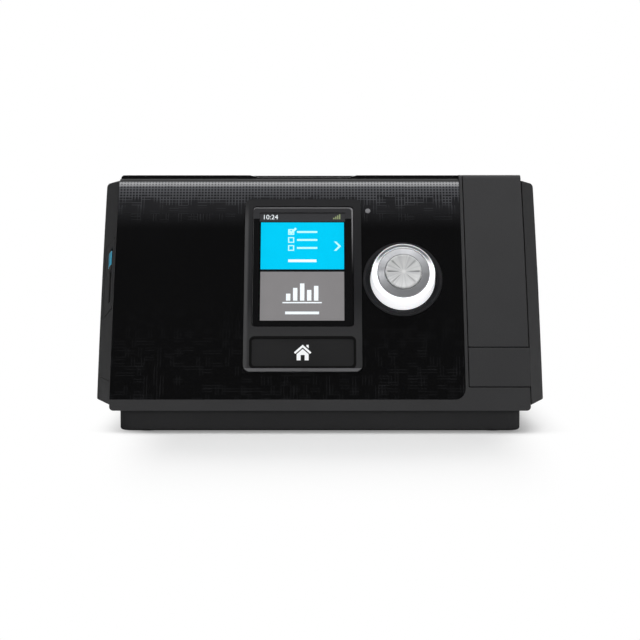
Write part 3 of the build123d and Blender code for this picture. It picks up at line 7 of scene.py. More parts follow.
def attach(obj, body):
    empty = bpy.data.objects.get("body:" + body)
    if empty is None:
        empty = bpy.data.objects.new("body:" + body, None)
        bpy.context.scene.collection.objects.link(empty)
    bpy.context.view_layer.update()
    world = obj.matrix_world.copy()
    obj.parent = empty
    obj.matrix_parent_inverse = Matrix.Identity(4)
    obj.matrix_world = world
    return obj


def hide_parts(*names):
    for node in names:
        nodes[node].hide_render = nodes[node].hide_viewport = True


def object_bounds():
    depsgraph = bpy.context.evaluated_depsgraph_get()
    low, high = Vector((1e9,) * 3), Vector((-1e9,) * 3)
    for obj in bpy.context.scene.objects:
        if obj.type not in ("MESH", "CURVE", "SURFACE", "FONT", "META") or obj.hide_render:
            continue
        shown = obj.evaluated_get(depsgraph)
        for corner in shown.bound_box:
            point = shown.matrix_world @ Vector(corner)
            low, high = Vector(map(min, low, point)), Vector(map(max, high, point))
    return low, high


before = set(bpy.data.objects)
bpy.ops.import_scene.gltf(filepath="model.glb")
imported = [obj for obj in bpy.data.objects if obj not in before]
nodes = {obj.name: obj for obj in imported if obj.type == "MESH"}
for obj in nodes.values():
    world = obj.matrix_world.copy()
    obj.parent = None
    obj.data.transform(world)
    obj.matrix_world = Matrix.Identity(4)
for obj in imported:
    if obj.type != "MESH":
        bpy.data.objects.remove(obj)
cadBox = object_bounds()
mm = 0.001
print("frame loaded,", len(nodes), "nodes")

# the leaning front is one large arc in the YZ plane, in mm
front = {"arcY": 637.85, "arcZ": -236.77, "radius": 754.49}


def frontPlace(x, z, out=0.0):
    # lays a flat piece on the leaning front: x to the right, y up the slope, z outwards
    tilt = math.asin((z - front["arcZ"]) / front["radius"])
    y = front["arcY"] - front["radius"] * math.cos(tilt)
    right = Vector((1, 0, 0))
    up = Vector((0, math.sin(tilt), math.cos(tilt)))
    normal = Vector((0, -math.cos(tilt), math.sin(tilt)))
    place = Matrix((right, up, normal)).transposed().to_4x4()
    place.translation = (Vector((x, y, z)) + normal * out) * mm
    return place


# distances in metres, from the front of the object; the camera looks a little down
view = {"distance": 0.720, "height": 0.100, "pitch": 3.9, "lens": 91.5, "sensor": 36}
cameraData = bpy.data.cameras.new("camera")
cameraData.lens = view["lens"]
cameraData.sensor_width = view["sensor"]
camera = bpy.data.objects.new("camera", cameraData)
bpy.context.scene.collection.objects.link(camera)
camera.location = (0, cadBox[0].y - view["distance"], view["height"])
camera.rotation_euler = (math.radians(90 - view["pitch"]), 0, 0)
bpy.context.scene.camera = camera
print("camera placed")


def colour(code, share=1.0):
    # sRGB hex to linear, made darker or lighter by the share
    parts = [int(code[i:i + 2], 16) / 255 for i in (1, 3, 5)]
    linear = [c / 12.92 if c <= 0.04045 else ((c + 0.055) / 1.055) ** 2.4 for c in parts]
    return [c * share for c in linear] + [1]


def plug(tree, node, *values, **named):
    # values go to the node's sockets in order, or by name with _ for a blank; a node that is given
    # as a value stands for its first output
    sockets = [socket for socket in node.inputs if socket.enabled]
    pairs = list(zip(sockets, values))
    pairs += [(node.inputs[key.replace("_", " ")], value) for key, value in named.items()]
    for socket, value in pairs:
        if isinstance(value, bpy.types.Node):
            value = next(output for output in value.outputs if output.enabled)
        if isinstance(value, bpy.types.NodeSocket):
            tree.links.new(value, socket)
        else:
            socket.default_value = value


# what the word after the colon sets on each kind of node
choices = {
    "Math": "operation", "VectorMath": "operation", "MapRange": "interpolation_type",
    "Mix": "data_type", "Mapping": "vector_type", "TexNoise": "noise_dimensions",
}
softStep = "MapRange:SMOOTHSTEP"  # from 0 to 1, or between the last two values, as the first one rises


def addNode(tree, kind, *values, **named):
    # "Math:ADD" is a Math node that adds
    kind, _, choice = kind.partition(":")
    node = tree.nodes.new("ShaderNode" + kind)
    if choice:
        setattr(node, choices[kind], choice)
    plug(tree, node, *values, **named)
    return node


def newMaterial(name, **constants):
    material = bpy.data.materials.new(name)
    material.use_nodes = True
    tree = material.node_tree
    shader = tree.nodes["Principled BSDF"]
    plug(tree, shader, **constants)
    return material, tree, shader


def moulded(name, shade, roughness, grain, relief, tone=0.08, specular=0.5, drift=0.04):
    # moulded thermoplastic: a spark-eroded grain, drawn some five times too coarse so that it shows,
    # and a faint drift in tone and gloss; grain and relief are in mm
    material, tree, shader = newMaterial(name, Specular_IOR_Level=specular)
    place = addNode(tree, "TexCoord").outputs["Object"]
    fine = addNode(tree, "TexNoise", Vector=place, Scale=1 / (grain * mm), Detail=2.0, Roughness=0.6)
    cloud = addNode(tree, "TexNoise", Vector=place, Scale=1 / (26 * mm), Detail=3.0)  # the melt's flow
    dark, light = colour(shade, 1 - tone), colour(shade, 1 + tone)
    clouded = addNode(tree, softStep, cloud, 0.3, 0.7)
    speckled = addNode(tree, softStep, fine, 0.25, 0.75)
    tint = addNode(tree, "Mix:RGBA", clouded, dark, light)
    speck = addNode(tree, "Mix:RGBA", speckled, dark, light)
    both = addNode(tree, "Mix:RGBA", 0.5, tint, speck)
    rough = addNode(tree, softStep, cloud, 0.25, 0.75, roughness - drift, roughness + drift)
    bump = addNode(tree, "Bump", Strength=1.0, Distance=relief * mm, Height=fine)
    plug(tree, shader, Base_Color=both, Roughness=rough, Normal=bump)
    return material


def metal(name, shade, roughness, scratch, along="x"):
    # bare metal: short drawn or ground lines along one way, under a faint cloud of handling; the
    # lines are a scratch wide, in mm, and thirty times as long
    material, tree, shader = newMaterial(name, Metallic=1.0)
    place = addNode(tree, "TexCoord").outputs["Object"]
    long, short = 1 / (scratch * 30 * mm), 1 / (scratch * mm)
    scale = {"x": (long, short, short), "y": (short, long, short), "z": (short, short, long)}[along]
    lay = addNode(tree, "Mapping:POINT", place, Scale=scale)
    lines = addNode(tree, "TexNoise", Vector=lay, Scale=1.0, Detail=2.0)
    cloud = addNode(tree, "TexNoise", Vector=place, Scale=1 / (9 * mm), Detail=3.0)  # fingermarks
    handled = addNode(tree, softStep, cloud, 0.3, 0.75)
    tint = addNode(tree, "Mix:RGBA", handled, colour(shade), colour(shade, 0.82))
    rough = addNode(tree, softStep, lines, 0.3, 0.7, roughness - 0.06, roughness + 0.08)
    bump = addNode(tree, "Bump", Strength=0.5, Distance=0.01 * mm, Height=lines)
    plug(tree, shader, Base_Color=tint, Roughness=rough, Normal=bump)
    return material


def paintLightBands(material, lightBands):
    # the same finish with painted light: paler towards its foot, and a painted highlight along its left
    # flank
    tree = material.node_tree
    shader = tree.nodes["Principled BSDF"]
    full = shader.inputs["Base Color"].links[0].from_socket
    place = addNode(tree, "TexCoord").outputs["Object"]
    inMm = addNode(tree, "VectorMath:SCALE", place, Scale=1 / mm)
    parts = addNode(tree, "SeparateXYZ", inMm).outputs
    foot = addNode(tree, softStep, parts["Z"], *lightBands["thin"])
    side = addNode(tree, softStep, parts["X"], *lightBands["flank"])
    below = addNode(tree, softStep, parts["Z"], *lightBands["flankTop"])
    flank = addNode(tree, "Math:MULTIPLY", side, below)
    # a paler foot and a paler left flank: painted light, not a thinner coat
    shade = addNode(tree, "Mix:RGBA", foot, full, colour(lightBands["thinShade"]))
    both = addNode(tree, "Mix:RGBA", flank, shade, colour(lightBands["flankShade"]))
    plug(tree, shader, Base_Color=both)


def dress(material, *names):
    for name in names:
        mesh = nodes[name].data
        mesh.materials.clear()
        mesh.materials.append(material)


# moulded ABS in a dark warm grey: dull, evenly grained, it takes a broad soft sheen
caseAbs = moulded("mouldedAbs", "#3c3c3d", 0.6, 0.55, 0.012, specular=0.12)
# the same resin polished in the tool where a finger runs: darker and smoother
buttonAbs = moulded("polishedAbs", "#1b1b1c", 0.4, 0.4, 0.004, specular=0.25)
# satin soft-feel lacquer over ABS, nearly black, with painted light: paler towards its foot, and a
# painted highlight along its left flank
bezelLacquer = moulded("satinLacquer", "#202022", 0.42, 0.3, 0.004, specular=0.12)
bezelLightBands = {
    "thin": (62.0, 42.0), "thinShade": "#363637",  # heights in mm between which the painted light makes it paler
    "flank": (-32.4, -33.6), "flankShade": "#4a4a4b",  # places across, where the painted highlight on the left flank starts
    "flankTop": (104.0, 92.0),  # heights between which the painted highlight on the flank fades out again
}
paintLightBands(bezelLacquer, bezelLightBands)
# glass-filled nylon of the hidden carriers: chalky and a little blotched
fillNylon = moulded("glassFilledNylon", "#1d1e20", 0.6, 0.8, 0.02, tone=0.16)
# nitrile feet: matt, faintly dusty rubber
footRubber = moulded("nitrileRubber", "#1b1b1b", 0.78, 0.6, 0.03, tone=0.14, specular=0.3)
dress(
    caseAbs, "lower_housing", "main_housing", "left_end_cover", "card_door", "filter_cover",
    "port_cover", "air_outlet", "tub_front_plate", "tub_rear_cover", "tub_end_cover", "tub_lid")
dress(buttonAbs, "home_button", "start_button")
dress(bezelLacquer, "screen_bezel", "dial_well")
dress(fillNylon, "power_inlet", "data_port", "blower_base", "blower_cover", "flow_sensor")
dress(footRubber, "rubber_feet")
print("plastics done")

# zinc-plated steel: cool grey with short drawn lines
zincSteel = metal("zincPlatedSteel", "#a9abae", 0.34, 0.25)
# ground steel of the shaft and pins: brighter, with fine lines along them
groundSteel = metal("groundSteel", "#c4c6c8", 0.24, 0.15, "z")
# drawn brass contacts: warm, lightly tarnished
contactBrass = metal("drawnBrass", "#c8a15a", 0.28, 0.2, "y")
# rolled aluminium plate: pale with long rolling marks
rolledPlate = metal("rolledAluminium", "#b9bcc0", 0.4, 0.4, "y")
# stacked electrical steel: dark lines a third of a millimetre apart
coreSteel = metal("laminatedSteel", "#5f6165", 0.46, 0.33)
dress(zincSteel, "board_screws", "housing_screws", "push_switches", "card_socket", "dial_encoder")
dress(groundSteel, "motor_shaft", "hinge_pins", "lid_pin", "motor_bearings", "dial_plunger")
dress(contactBrass, "power_contacts")
dress(rolledPlate, "heater_plate", "tub_heat_plate", "motor_housing")
dress(coreSteel, "motor_stator", "rotor_magnet")
print("metals done")

panelFinish = {
    "base": "#0a0a0b",
    "paintedSheen": "#262628",  # even grey, a painted reflection of the light overhead, that the print dissolves into
    "stroke": "#626367",
    "rollHighlightStroke": "#7d7e81",  # of the strokes on the rolled edge, paler there as a painted highlight
    "pitch": 1.46,  # mm between the printed dots
    "lean": 23.5,  # degrees by which the rows follow the slope
    "dot": (0.22, 0.36),  # radius of the dark dots and of their soft edge, in pitches
    "line": (0.26, 0.42),  # how far from the middle of a cell a stroke starts, and is full
    "run": 3.0,  # pitches that a stroke lasts
    "gain": 1.3,  # how fast the strokes close up as the print rises
    "keep": (0.8, 1.1),  # chance and rise together, from none to all of a stroke
    "close": (0.6, 1.05),  # of the rise, over which the strokes become an even weave
    "faint": 0.25,  # strength of the lowest strokes
    "stray": (0.8, 0.84),  # chance above which a row's and a column's stroke strays lower down
    "paintedSheenFade": (90.0, 102.5),  # heights in mm between which the painted reflection rises
    "printFade": (98.0, 112.0),  # and the print over it
    "strayFade": (92.0, 98.0),  # below this not even single strokes are left
    "roll": (110.0, 113.5),  # where the front rolls over
    "lip": (112.1, 113.2),  # above this it is plain and dull, under the lip of the cover
    "trace": 0.09,  # strength of the strays near the foot of the panel
    "traceFade": (62.0, 26.0),  # and heights between which they appear
    "roughness": (0.04, 0.09), "lipRoughness": 0.9,
}


def glossPanel():
    # hard-coated polycarbonate, deep black; a woven print of dots and strokes fades in to its top, over
    # a painted reflection that greys it towards the top
    size = panelFinish
    material, tree, shader = newMaterial("hardCoatedPolycarbonate", IOR=1.52)
    place = addNode(tree, "TexCoord").outputs["Object"]
    x, y, z = addNode(tree, "SeparateXYZ", place).outputs
    height = addNode(tree, "Math:DIVIDE", z, mm)
    paintedSheen = addNode(tree, softStep, height, *size["paintedSheenFade"])
    printing = addNode(tree, softStep, height, *size["printFade"])
    lip = addNode(tree, softStep, height, *size["lip"])

    # cells of the weave: u counts them across, v up the slope
    lean = math.radians(size["lean"])
    pitch = size["pitch"] * mm
    backwards = addNode(tree, "Math:MULTIPLY", y, math.sin(lean))
    upwards = addNode(tree, "Math:MULTIPLY", z, math.cos(lean))
    u = addNode(tree, "Math:DIVIDE", x, pitch)
    v = addNode(tree, "Math:DIVIDE", addNode(tree, "Math:ADD", backwards, upwards), pitch)
    offU = addNode(tree, "Math:SUBTRACT", addNode(tree, "Math:FRACT", u), 0.5)
    offV = addNode(tree, "Math:SUBTRACT", addNode(tree, "Math:FRACT", v), 0.5)
    reach = addNode(tree, "VectorMath:LENGTH", addNode(tree, "CombineXYZ", offU, offV))
    ground = addNode(tree, softStep, reach, *size["dot"])  # light between the dark dots

    # broken strokes: short runs of the weave's rows and columns drop out by chance
    longU = addNode(tree, "Math:DIVIDE", u, size["run"])
    longV = addNode(tree, "Math:DIVIDE", v, size["run"])
    rareRow, rareColumn = size["stray"]
    strokes = []
    strays = []
    rowCells, columnCells = (longU, v, 0.0), (u, longV, 5.0)  # the last number keeps their chances apart
    for (across, up, layer), off, rare in (
            (rowCells, offV, rareRow), (columnCells, offU, rareColumn)):
        column = addNode(tree, "Math:FLOOR", across)
        row = addNode(tree, "Math:FLOOR", up)
        chance = addNode(tree, "TexWhiteNoise", addNode(tree, "CombineXYZ", column, row, layer))
        away = addNode(tree, softStep, addNode(tree, "Math:ABSOLUTE", off), *size["line"])
        line = addNode(tree, "Math:MULTIPLY", away, ground)
        rise = addNode(tree, "Math:MULTIPLY_ADD", printing, size["gain"], chance)
        kept = addNode(tree, softStep, rise, *size["keep"])
        strokes.append(addNode(tree, "Math:MULTIPLY", kept, line))
        lucky = addNode(tree, "Math:GREATER_THAN", chance, rare)
        strays.append(addNode(tree, "Math:MULTIPLY", lucky, line))

    closing = addNode(tree, softStep, printing, *size["close"])
    closed = addNode(tree, "Math:MULTIPLY", ground, closing)
    weave = addNode(tree, "Math:MAXIMUM", addNode(tree, "Math:MAXIMUM", *strokes), closed)
    strength = addNode(tree, "Math:MULTIPLY_ADD", printing, 1 - size["faint"], size["faint"])
    foot = addNode(tree, softStep, height, *size["strayFade"])
    shown = addNode(tree, "Math:MULTIPLY", addNode(tree, "Math:MULTIPLY", weave, strength), foot)
    upper = addNode(tree, "Math:MULTIPLY", shown, addNode(tree, "Math:SUBTRACT", 1.0, lip))
    trace = addNode(tree, softStep, height, *size["traceFade"], 0.0, size["trace"])
    lower = addNode(tree, "Math:MULTIPLY", addNode(tree, "Math:MAXIMUM", *strays), trace)
    amount = addNode(tree, "Math:ADD", upper, lower)

    # the strokes turn paler on the rolled edge: a painted highlight
    rolled = addNode(tree, softStep, height, *size["roll"])
    ink = addNode(tree, "Mix:RGBA", rolled, colour(size["stroke"]), colour(size["rollHighlightStroke"]))
    # the painted reflection: the black turns grey towards the top
    under = addNode(tree, "Mix:RGBA", paintedSheen, colour(size["base"]), colour(size["paintedSheen"]))
    under = addNode(tree, "Mix:RGBA", lip, under, colour(size["base"]))
    tint = addNode(tree, "Mix:RGBA", amount, under, ink)
    drift = addNode(tree, "TexNoise", Vector=place, Scale=1 / (40 * mm), Detail=2.0)  # of the coat
    smooth = addNode(tree, softStep, drift, 0.2, 0.8, *size["roughness"])
    dull = addNode(tree, "Math:MULTIPLY", lip, size["lipRoughness"])
    plug(tree, shader, Base_Color=tint, Roughness=addNode(tree, "Math:MAXIMUM", smooth, dull))
    return material


dress(glossPanel(), "front_panel")
# the same black resin without the print: a soft mirror with hardly any grain
coverGloss = moulded("pianoBlackAbs", "#0c0c0d", 0.2, 0.5, 0.002, drift=0.008)
dress(coverGloss, "top_cover")
print("front panel finish done")

windowSize = {
    "x": -8.15, "z": 74.05,  # its middle; all else in mm from there
    "halfWidth": 19.7, "low": -26.6, "high": 26.75,  # the opening that the border leaves clear
    "band": 23.6,  # the border is grey above this
    "edge": 0.15,
    "rim": (22.7, 28.9, 1.5),  # half width, half height and corner of the painted highlight line round the edge
    "rimHighlightFade": (-6.0, 28.0),  # the painted highlight gets brighter up the slope
    "ink": "#131314", "bandInk": "#3d3d3f", "rimHighlightShade": "#98989a",
    "ior": 1.45, "roughness": 0.03,
}


def outerFresnel(tree, ior):
    # reflection at the faces that look outwards only, since light passes these resins unbent
    inside = addNode(tree, "NewGeometry").outputs["Backfacing"]
    outside = addNode(tree, "Math:SUBTRACT", 1.0, inside)
    return addNode(tree, "Math:MULTIPLY", addNode(tree, "Fresnel", IOR=ior), outside)


def printedWindow():
    # clear acrylic with a black border printed behind it: bright reflections, a painted highlight line
    # round the opening, nothing else of its own
    size = windowSize
    material, tree = newMaterial("printedAcrylic")[:2]
    tree.nodes.clear()
    place = addNode(tree, "TexCoord").outputs["Object"]
    centre = frontPlace(size["x"], size["z"])
    shift = addNode(tree, "VectorMath:SUBTRACT", place, tuple(centre.translation))
    inMm = addNode(tree, "VectorMath:SCALE", shift, Scale=1 / mm)
    across = addNode(tree, "Math:ABSOLUTE", addNode(tree, "SeparateXYZ", inMm))
    climb = addNode(tree, "VectorMath:DOT_PRODUCT", inMm, tuple(centre.col[1].xyz))

    edge = size["edge"]
    side = addNode(tree, softStep, across, size["halfWidth"], size["halfWidth"] + edge)
    top = addNode(tree, softStep, climb, size["high"], size["high"] + edge)
    bottom = addNode(tree, softStep, climb, size["low"], size["low"] - edge)
    inside = addNode(tree, "NewGeometry").outputs["Backfacing"]
    topFace = addNode(tree, "Math:MULTIPLY", top, addNode(tree, "Math:SUBTRACT", 1.0, inside))
    border = addNode(tree, "Math:MAXIMUM", addNode(tree, "Math:MAXIMUM", side, bottom), topFace)

    rimWidth, rimHeight, corner = size["rim"]
    beyond = []
    for distance, half in ((across, rimWidth), (climb, rimHeight)):
        past = addNode(tree, "Math:SUBTRACT", distance, half - corner)
        beyond.append(addNode(tree, "Math:MAXIMUM", past, 0.0))
    reach = addNode(tree, "VectorMath:LENGTH", addNode(tree, "CombineXYZ", *beyond))
    line = addNode(tree, softStep, reach, corner, corner + edge)
    bright = addNode(tree, softStep, climb, *size["rimHighlightFade"])
    # a light line round the opening: a painted highlight
    rim = addNode(tree, "Math:MULTIPLY", line, bright)

    band = addNode(tree, softStep, climb, size["band"], size["band"] + edge)
    ink = addNode(tree, "Mix:RGBA", band, colour(size["ink"]), colour(size["bandInk"]))
    ink = addNode(tree, "Mix:RGBA", rim, ink, colour(size["rimHighlightShade"]))
    clear = addNode(tree, "BsdfTransparent", Color=colour("#ffffff"))
    under = addNode(tree, "MixShader", border, clear, addNode(tree, "BsdfDiffuse", Color=ink))
    shine = addNode(tree, "BsdfGlossy", Roughness=size["roughness"])
    face = addNode(tree, "MixShader", outerFresnel(tree, size["ior"]), under, shine)
    addNode(tree, "OutputMaterial", face)
    return material


dress(printedWindow(), "display_window")


def clearResin(name, shade, roughness, opacity, ior=1.5):
    # clear moulded resin: lets light through, tinted in its thickness, with a slight flow mark
    material, tree = newMaterial(name)[:2]
    tree.nodes.clear()
    place = addNode(tree, "TexCoord").outputs["Object"]
    flow = addNode(tree, "TexNoise", Vector=place, Scale=1 / (14 * mm), Detail=3.0)
    through = addNode(tree, "BsdfTransparent", Color=colour(shade))
    body = addNode(tree, "BsdfPrincipled", Base_Color=colour(shade), Roughness=roughness)
    share = addNode(tree, softStep, flow, 0.3, 0.7, opacity - 0.05, opacity + 0.05)
    total = addNode(tree, "Math:ADD", share, outerFresnel(tree, ior))
    total.use_clamp = True
    addNode(tree, "OutputMaterial", addNode(tree, "MixShader", total, through, body))
    return material


# injection-moulded polycarbonate: water-clear, with a cool tint in its thickness
tubResin = clearResin("clearPolycarbonate", "#c9d2d8", 0.08, 0.16)
# the same with smoke in it: the water's level shows, nothing more
windowResin = clearResin("smokedPolycarbonate", "#5d6468", 0.1, 0.4)
# acrylic that passes infrared: a dull grey bead to the eye
sensorResin = clearResin("infraredAcrylic", "#99999c", 0.15, 0.75)
dress(tubResin, "tub_base", "tub_roof")
dress(windowResin, "tub_window")
dress(sensorResin, "light_sensor_lens")


def silicone():
    # cured silicone rubber: milky, soft sheen, a little light in its thin edges
    material, tree, shader = newMaterial(
        "curedSilicone", Subsurface_Weight=0.25, Subsurface_Scale=2 * mm, Specular_IOR_Level=0.35)
    place = addNode(tree, "TexCoord").outputs["Object"]
    dust = addNode(tree, "TexNoise", Vector=place, Scale=1 / (3 * mm), Detail=4.0)
    tint = addNode(tree, "Mix:RGBA", dust, colour("#8d9093"), colour("#a3a6a8"))
    rough = addNode(tree, softStep, dust, 0.2, 0.8, 0.45, 0.62)
    plug(tree, shader, Base_Color=tint, Roughness=rough)
    return material


dress(silicone(), "port_seals", "tub_seal", "blower_mounts", "supply_duct", "return_duct")

boardPrint = {
    "cell": 9.0, "track": 0.035,  # mm between the tracks' turns, and a track's width as a share
    "mask": ("#12412c", "#185038"), "copper": "#2c7350",
    "pads": 4.0, "pad": (0.16, 0.12), "tin": "#b3aa8a",
}


def boardLaminate():
    # epoxy laminate under green solder mask: copper tracks show through as paler lines, tin as dots
    size = boardPrint
    material, tree, shader = newMaterial("solderMaskLaminate", Roughness=0.32, Coat_Weight=0.3)
    place = addNode(tree, "TexCoord").outputs["Object"]
    first, second = [colour(shade) for shade in size["mask"]]
    tracks = addNode(
        tree, "TexBrick", Vector=place, Scale=1 / (size["cell"] * mm), Color1=first, Color2=second,
        Mortar=colour(size["copper"]), Mortar_Size=size["track"])
    tracks.offset = 0.37
    tracks.squash = 1.7
    tracks.squash_frequency = 3
    grains = addNode(tree, "TexVoronoi", Vector=place, Scale=1 / (size["pads"] * mm))
    dots = addNode(tree, softStep, grains, *size["pad"])
    tint = addNode(tree, "Mix:RGBA", dots, tracks, colour(size["tin"]))
    bump = addNode(tree, "Bump", Strength=0.6, Distance=0.04 * mm, Height=tracks.outputs["Fac"])
    plug(tree, shader, Base_Color=tint, Normal=bump)
    return material


dress(boardLaminate(), "display_circuit_board", "start_circuit_board", "main_circuit_board")


def porous(name, shade, pitShade, cell, relief):
    # open-cell foam or felted fibre: pits about a cell wide in mm, with painted shade inside them
    material, tree, shader = newMaterial(name, Roughness=0.9, Specular_IOR_Level=0.2)
    place = addNode(tree, "TexCoord").outputs["Object"]
    cells = addNode(tree, "TexVoronoi", Vector=place, Scale=1 / (cell * mm))
    pits = addNode(tree, softStep, cells, 0.15, 0.6)
    # the pits take the darker colour: painted shade
    tint = addNode(tree, "Mix:RGBA", pits, colour(pitShade), colour(shade))
    bump = addNode(tree, "Bump", Strength=0.9, Distance=relief * mm, Height=pits)
    plug(tree, shader, Base_Color=tint, Normal=bump)
    return material


# grey open-cell foam that deadens the inlet: rough, with painted shade in its pits
dress(porous("polyurethaneFoam", "#4a4b4d", "#17181a", 0.9, 0.3), "inlet_muffler")
# blue-white needled fibre of the air filter, cells drawn at 0.7 mm so that they show, with painted shade
# in them
dress(porous("needledPolyester", "#e4e8ea", "#9fb0bb", 0.7, 0.2), "air_filter")
# glass-filled polyester of the impeller: pale and evenly dull
dress(moulded("pbtResin", "#c9cbca", 0.42, 0.5, 0.01), "impeller")
# display glass, off: a cool black under a polished face
dress(moulded("displayGlass", "#101216", 0.08, 0.4, 0.0005), "lcd_module")
# card of polished ABS in a bright blue, with a clean edge
dress(moulded("blueAbs", "#1e8fd2", 0.3, 0.5, 0.004, tone=0.05), "memory_card")
print("clear, soft and electronic materials done")


def onlySelect(piece):
    if bpy.context.object and bpy.context.object.mode != "OBJECT":
        bpy.ops.object.mode_set(mode="OBJECT")
    bpy.ops.object.select_all(action="DESELECT")
    piece.select_set(True)
    bpy.context.view_layer.objects.active = piece


def settle(piece, name, material, body, place=None, smooth=35):
    # names a finished piece, carries its place into its mesh and hands it to its body
    onlySelect(piece)
    if piece.type != "MESH":
        bpy.ops.object.convert(target="MESH")
        piece = bpy.context.object
    if place is not None:
        piece.matrix_world = place @ piece.matrix_world
    bpy.ops.object.transform_apply(location=True, rotation=True, scale=True)
    if smooth:
        bpy.ops.object.shade_smooth_by_angle(angle=math.radians(smooth))
    piece.name = piece.data.name = name
    piece.data.materials.clear()
    piece.data.materials.append(material)
    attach(piece, body)
    return piece


# what all rounded edges share: lengths in mm, angles in degrees
edgeFinish = {"merge": 0.002, "flat": 0.15, "sharp": 30, "segments": 2, "smooth": 40, "weight": 90}


def softened(name, node, width, body, slot):
    # the node's own shape with its sharp edges rounded, as a moulding's are
    mesh = nodes[node].data.copy()
    piece = bpy.data.objects.new(name, mesh)
    bpy.context.scene.collection.objects.link(piece)
    material = mesh.materials[0]
    onlySelect(piece)
    if mesh.has_custom_normals:
        bpy.ops.mesh.customdata_custom_splitnormals_clear()
    bpy.ops.object.mode_set(mode="EDIT")
    bpy.ops.mesh.select_all(action="SELECT")
    bpy.ops.mesh.remove_doubles(threshold=edgeFinish["merge"] * mm)
    bpy.ops.mesh.dissolve_limited(angle_limit=math.radians(edgeFinish["flat"]))
    bpy.ops.object.mode_set(mode="OBJECT")
    bevel = piece.modifiers.new("edges", "BEVEL")
    bevel.width = width * mm
    bevel.segments = edgeFinish["segments"]
    bevel.limit_method = "ANGLE"
    bevel.angle_limit = math.radians(edgeFinish["sharp"])
    bpy.ops.object.modifier_apply(modifier=bevel.name)
    bpy.ops.object.shade_smooth_by_angle(angle=math.radians(edgeFinish["smooth"]))
    even = piece.modifiers.new("even", "WEIGHTED_NORMAL")  # keeps the broad faces true
    even.weight = edgeFinish["weight"]
    even.keep_sharp = True
    bpy.ops.object.modifier_apply(modifier=even.name)
    settle(piece, name, material, body, smooth=None)
    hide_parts(node)
    return piece


# each moulding: its node, the width of its rounded edges in mm, its body and its slot
softEdges = {
    "columnHood": ("tub_lid", 0.7, "tub_cover", "case_abs"),
    "columnSkirt": ("tub_front_plate", 0.2, "water_tub", "case_abs"),
    "bezelFrame": ("screen_bezel", 0.6, "housing", "bezel_black"),
    "homeKey": ("home_button", 0.9, "home_key", "button_black"),
    "screenGlass": ("display_window", 0.25, "housing", "gloss_clear"),
    "coverLip": ("top_cover", 0.25, "housing", "gloss_panel"),
    "leftEnd": ("left_end_cover", 0.3, "housing", "case_abs"),
    "rightEnd": ("tub_end_cover", 0.3, "water_tub", "case_abs"),
    "cardFlap": ("card_door", 0.15, "card_flap", "case_abs"),
    "frontGloss": ("front_panel", 0.25, "housing", "gloss_panel"),
    "baseTray": ("lower_housing", 0.3, "housing", "case_abs"),
    "caseShell": ("main_housing", 0.25, "housing", "case_abs"),
    "filterDoor": ("filter_cover", 0.2, "filter_flap", "case_abs"),
    "portDoor": ("port_cover", 0.2, "port_flap", "case_abs"),
    "rearColumn": ("tub_rear_cover", 0.2, "water_tub", "case_abs"),
    "outletCone": ("air_outlet", 0.2, "housing", "case_abs"),
    "plugSocket": ("power_inlet", 0.2, "housing", "inner_plastic"),
}
mouldings = {name: softened(name, *values) for name, values in softEdges.items()}
print("mouldings softened")

# the card door's finger grip is painted dark as painted shade, and a blue window sits over its slit;
# lengths in mm
cardDoor = {
    "hinge": (-99.671, -36.086, 65.573),
    "along": (0.3813, -0.84556, 0.37368),  # from the hinge towards the front panel
    "out": (-0.92445, -0.34877, 0.15413),
    "grip": (8.15, 11.25, -13.3, 1.82),  # left, right, low and high edges
    "gripSkin": 0.05,  # less than this under the face is still the face
    "window": (5.8, 10.2, 4.7, 12.3),
    "windowEdge": 0.1,
    "face": 0.8,  # of the door, out from its hinge
    "proud": 0.15,  # height of the window over it
}
# tinted polycarbonate: clear blue with a soft shine, and faint streaks where the melt flowed
blueWindow = moulded("tintedPolycarbonate", "#62cff4", 0.2, 1.2, 0.002, tone=0.05)


def cardDoorPlace():
    along, out = Vector(cardDoor["along"]).normalized(), Vector(cardDoor["out"]).normalized()
    place = Matrix((along, out.cross(along), out)).transposed().to_4x4()
    place.translation = Vector(cardDoor["hinge"]) * mm
    return place


def shadeGrip(door):
    # the floor and walls of the grip take the second material, black rubber as painted shade in the
    # recess
    door.data.materials.append(footRubber)
    left, right, low, high = cardDoor["grip"]
    inwards = cardDoorPlace().inverted()
    for face in door.data.polygons:
        x, y, z = inwards @ face.center / mm
        if left < x < right and low < y < high and 0 < z < cardDoor["face"] - cardDoor["gripSkin"]:
            face.material_index = 1


def cardWindow():
    # one block with rounded edges, let into the door
    left, right, low, high = cardDoor["window"]
    bpy.ops.object.select_all(action="DESELECT")
    bpy.ops.mesh.primitive_cube_add(size=1, location=(0, 0, 0))
    piece = bpy.context.object
    piece.scale = ((right - left) * mm, (high - low) * mm, 2 * cardDoor["proud"] * mm)
    piece.location = ((left + right) / 2 * mm, (low + high) / 2 * mm, cardDoor["face"] * mm)
    bpy.ops.object.transform_apply(location=True, scale=True)
    bpy.ops.object.mode_set(mode="EDIT")
    bpy.ops.mesh.select_all(action="SELECT")
    bpy.ops.mesh.bevel(offset=cardDoor["windowEdge"] * mm, segments=2, affect="EDGES")
    bpy.ops.object.mode_set(mode="OBJECT")
    return settle(piece, "cardWindow", blueWindow, "card_flap", cardDoorPlace())


shadeGrip(mouldings["cardFlap"])
cardWindow()
print("card door done")


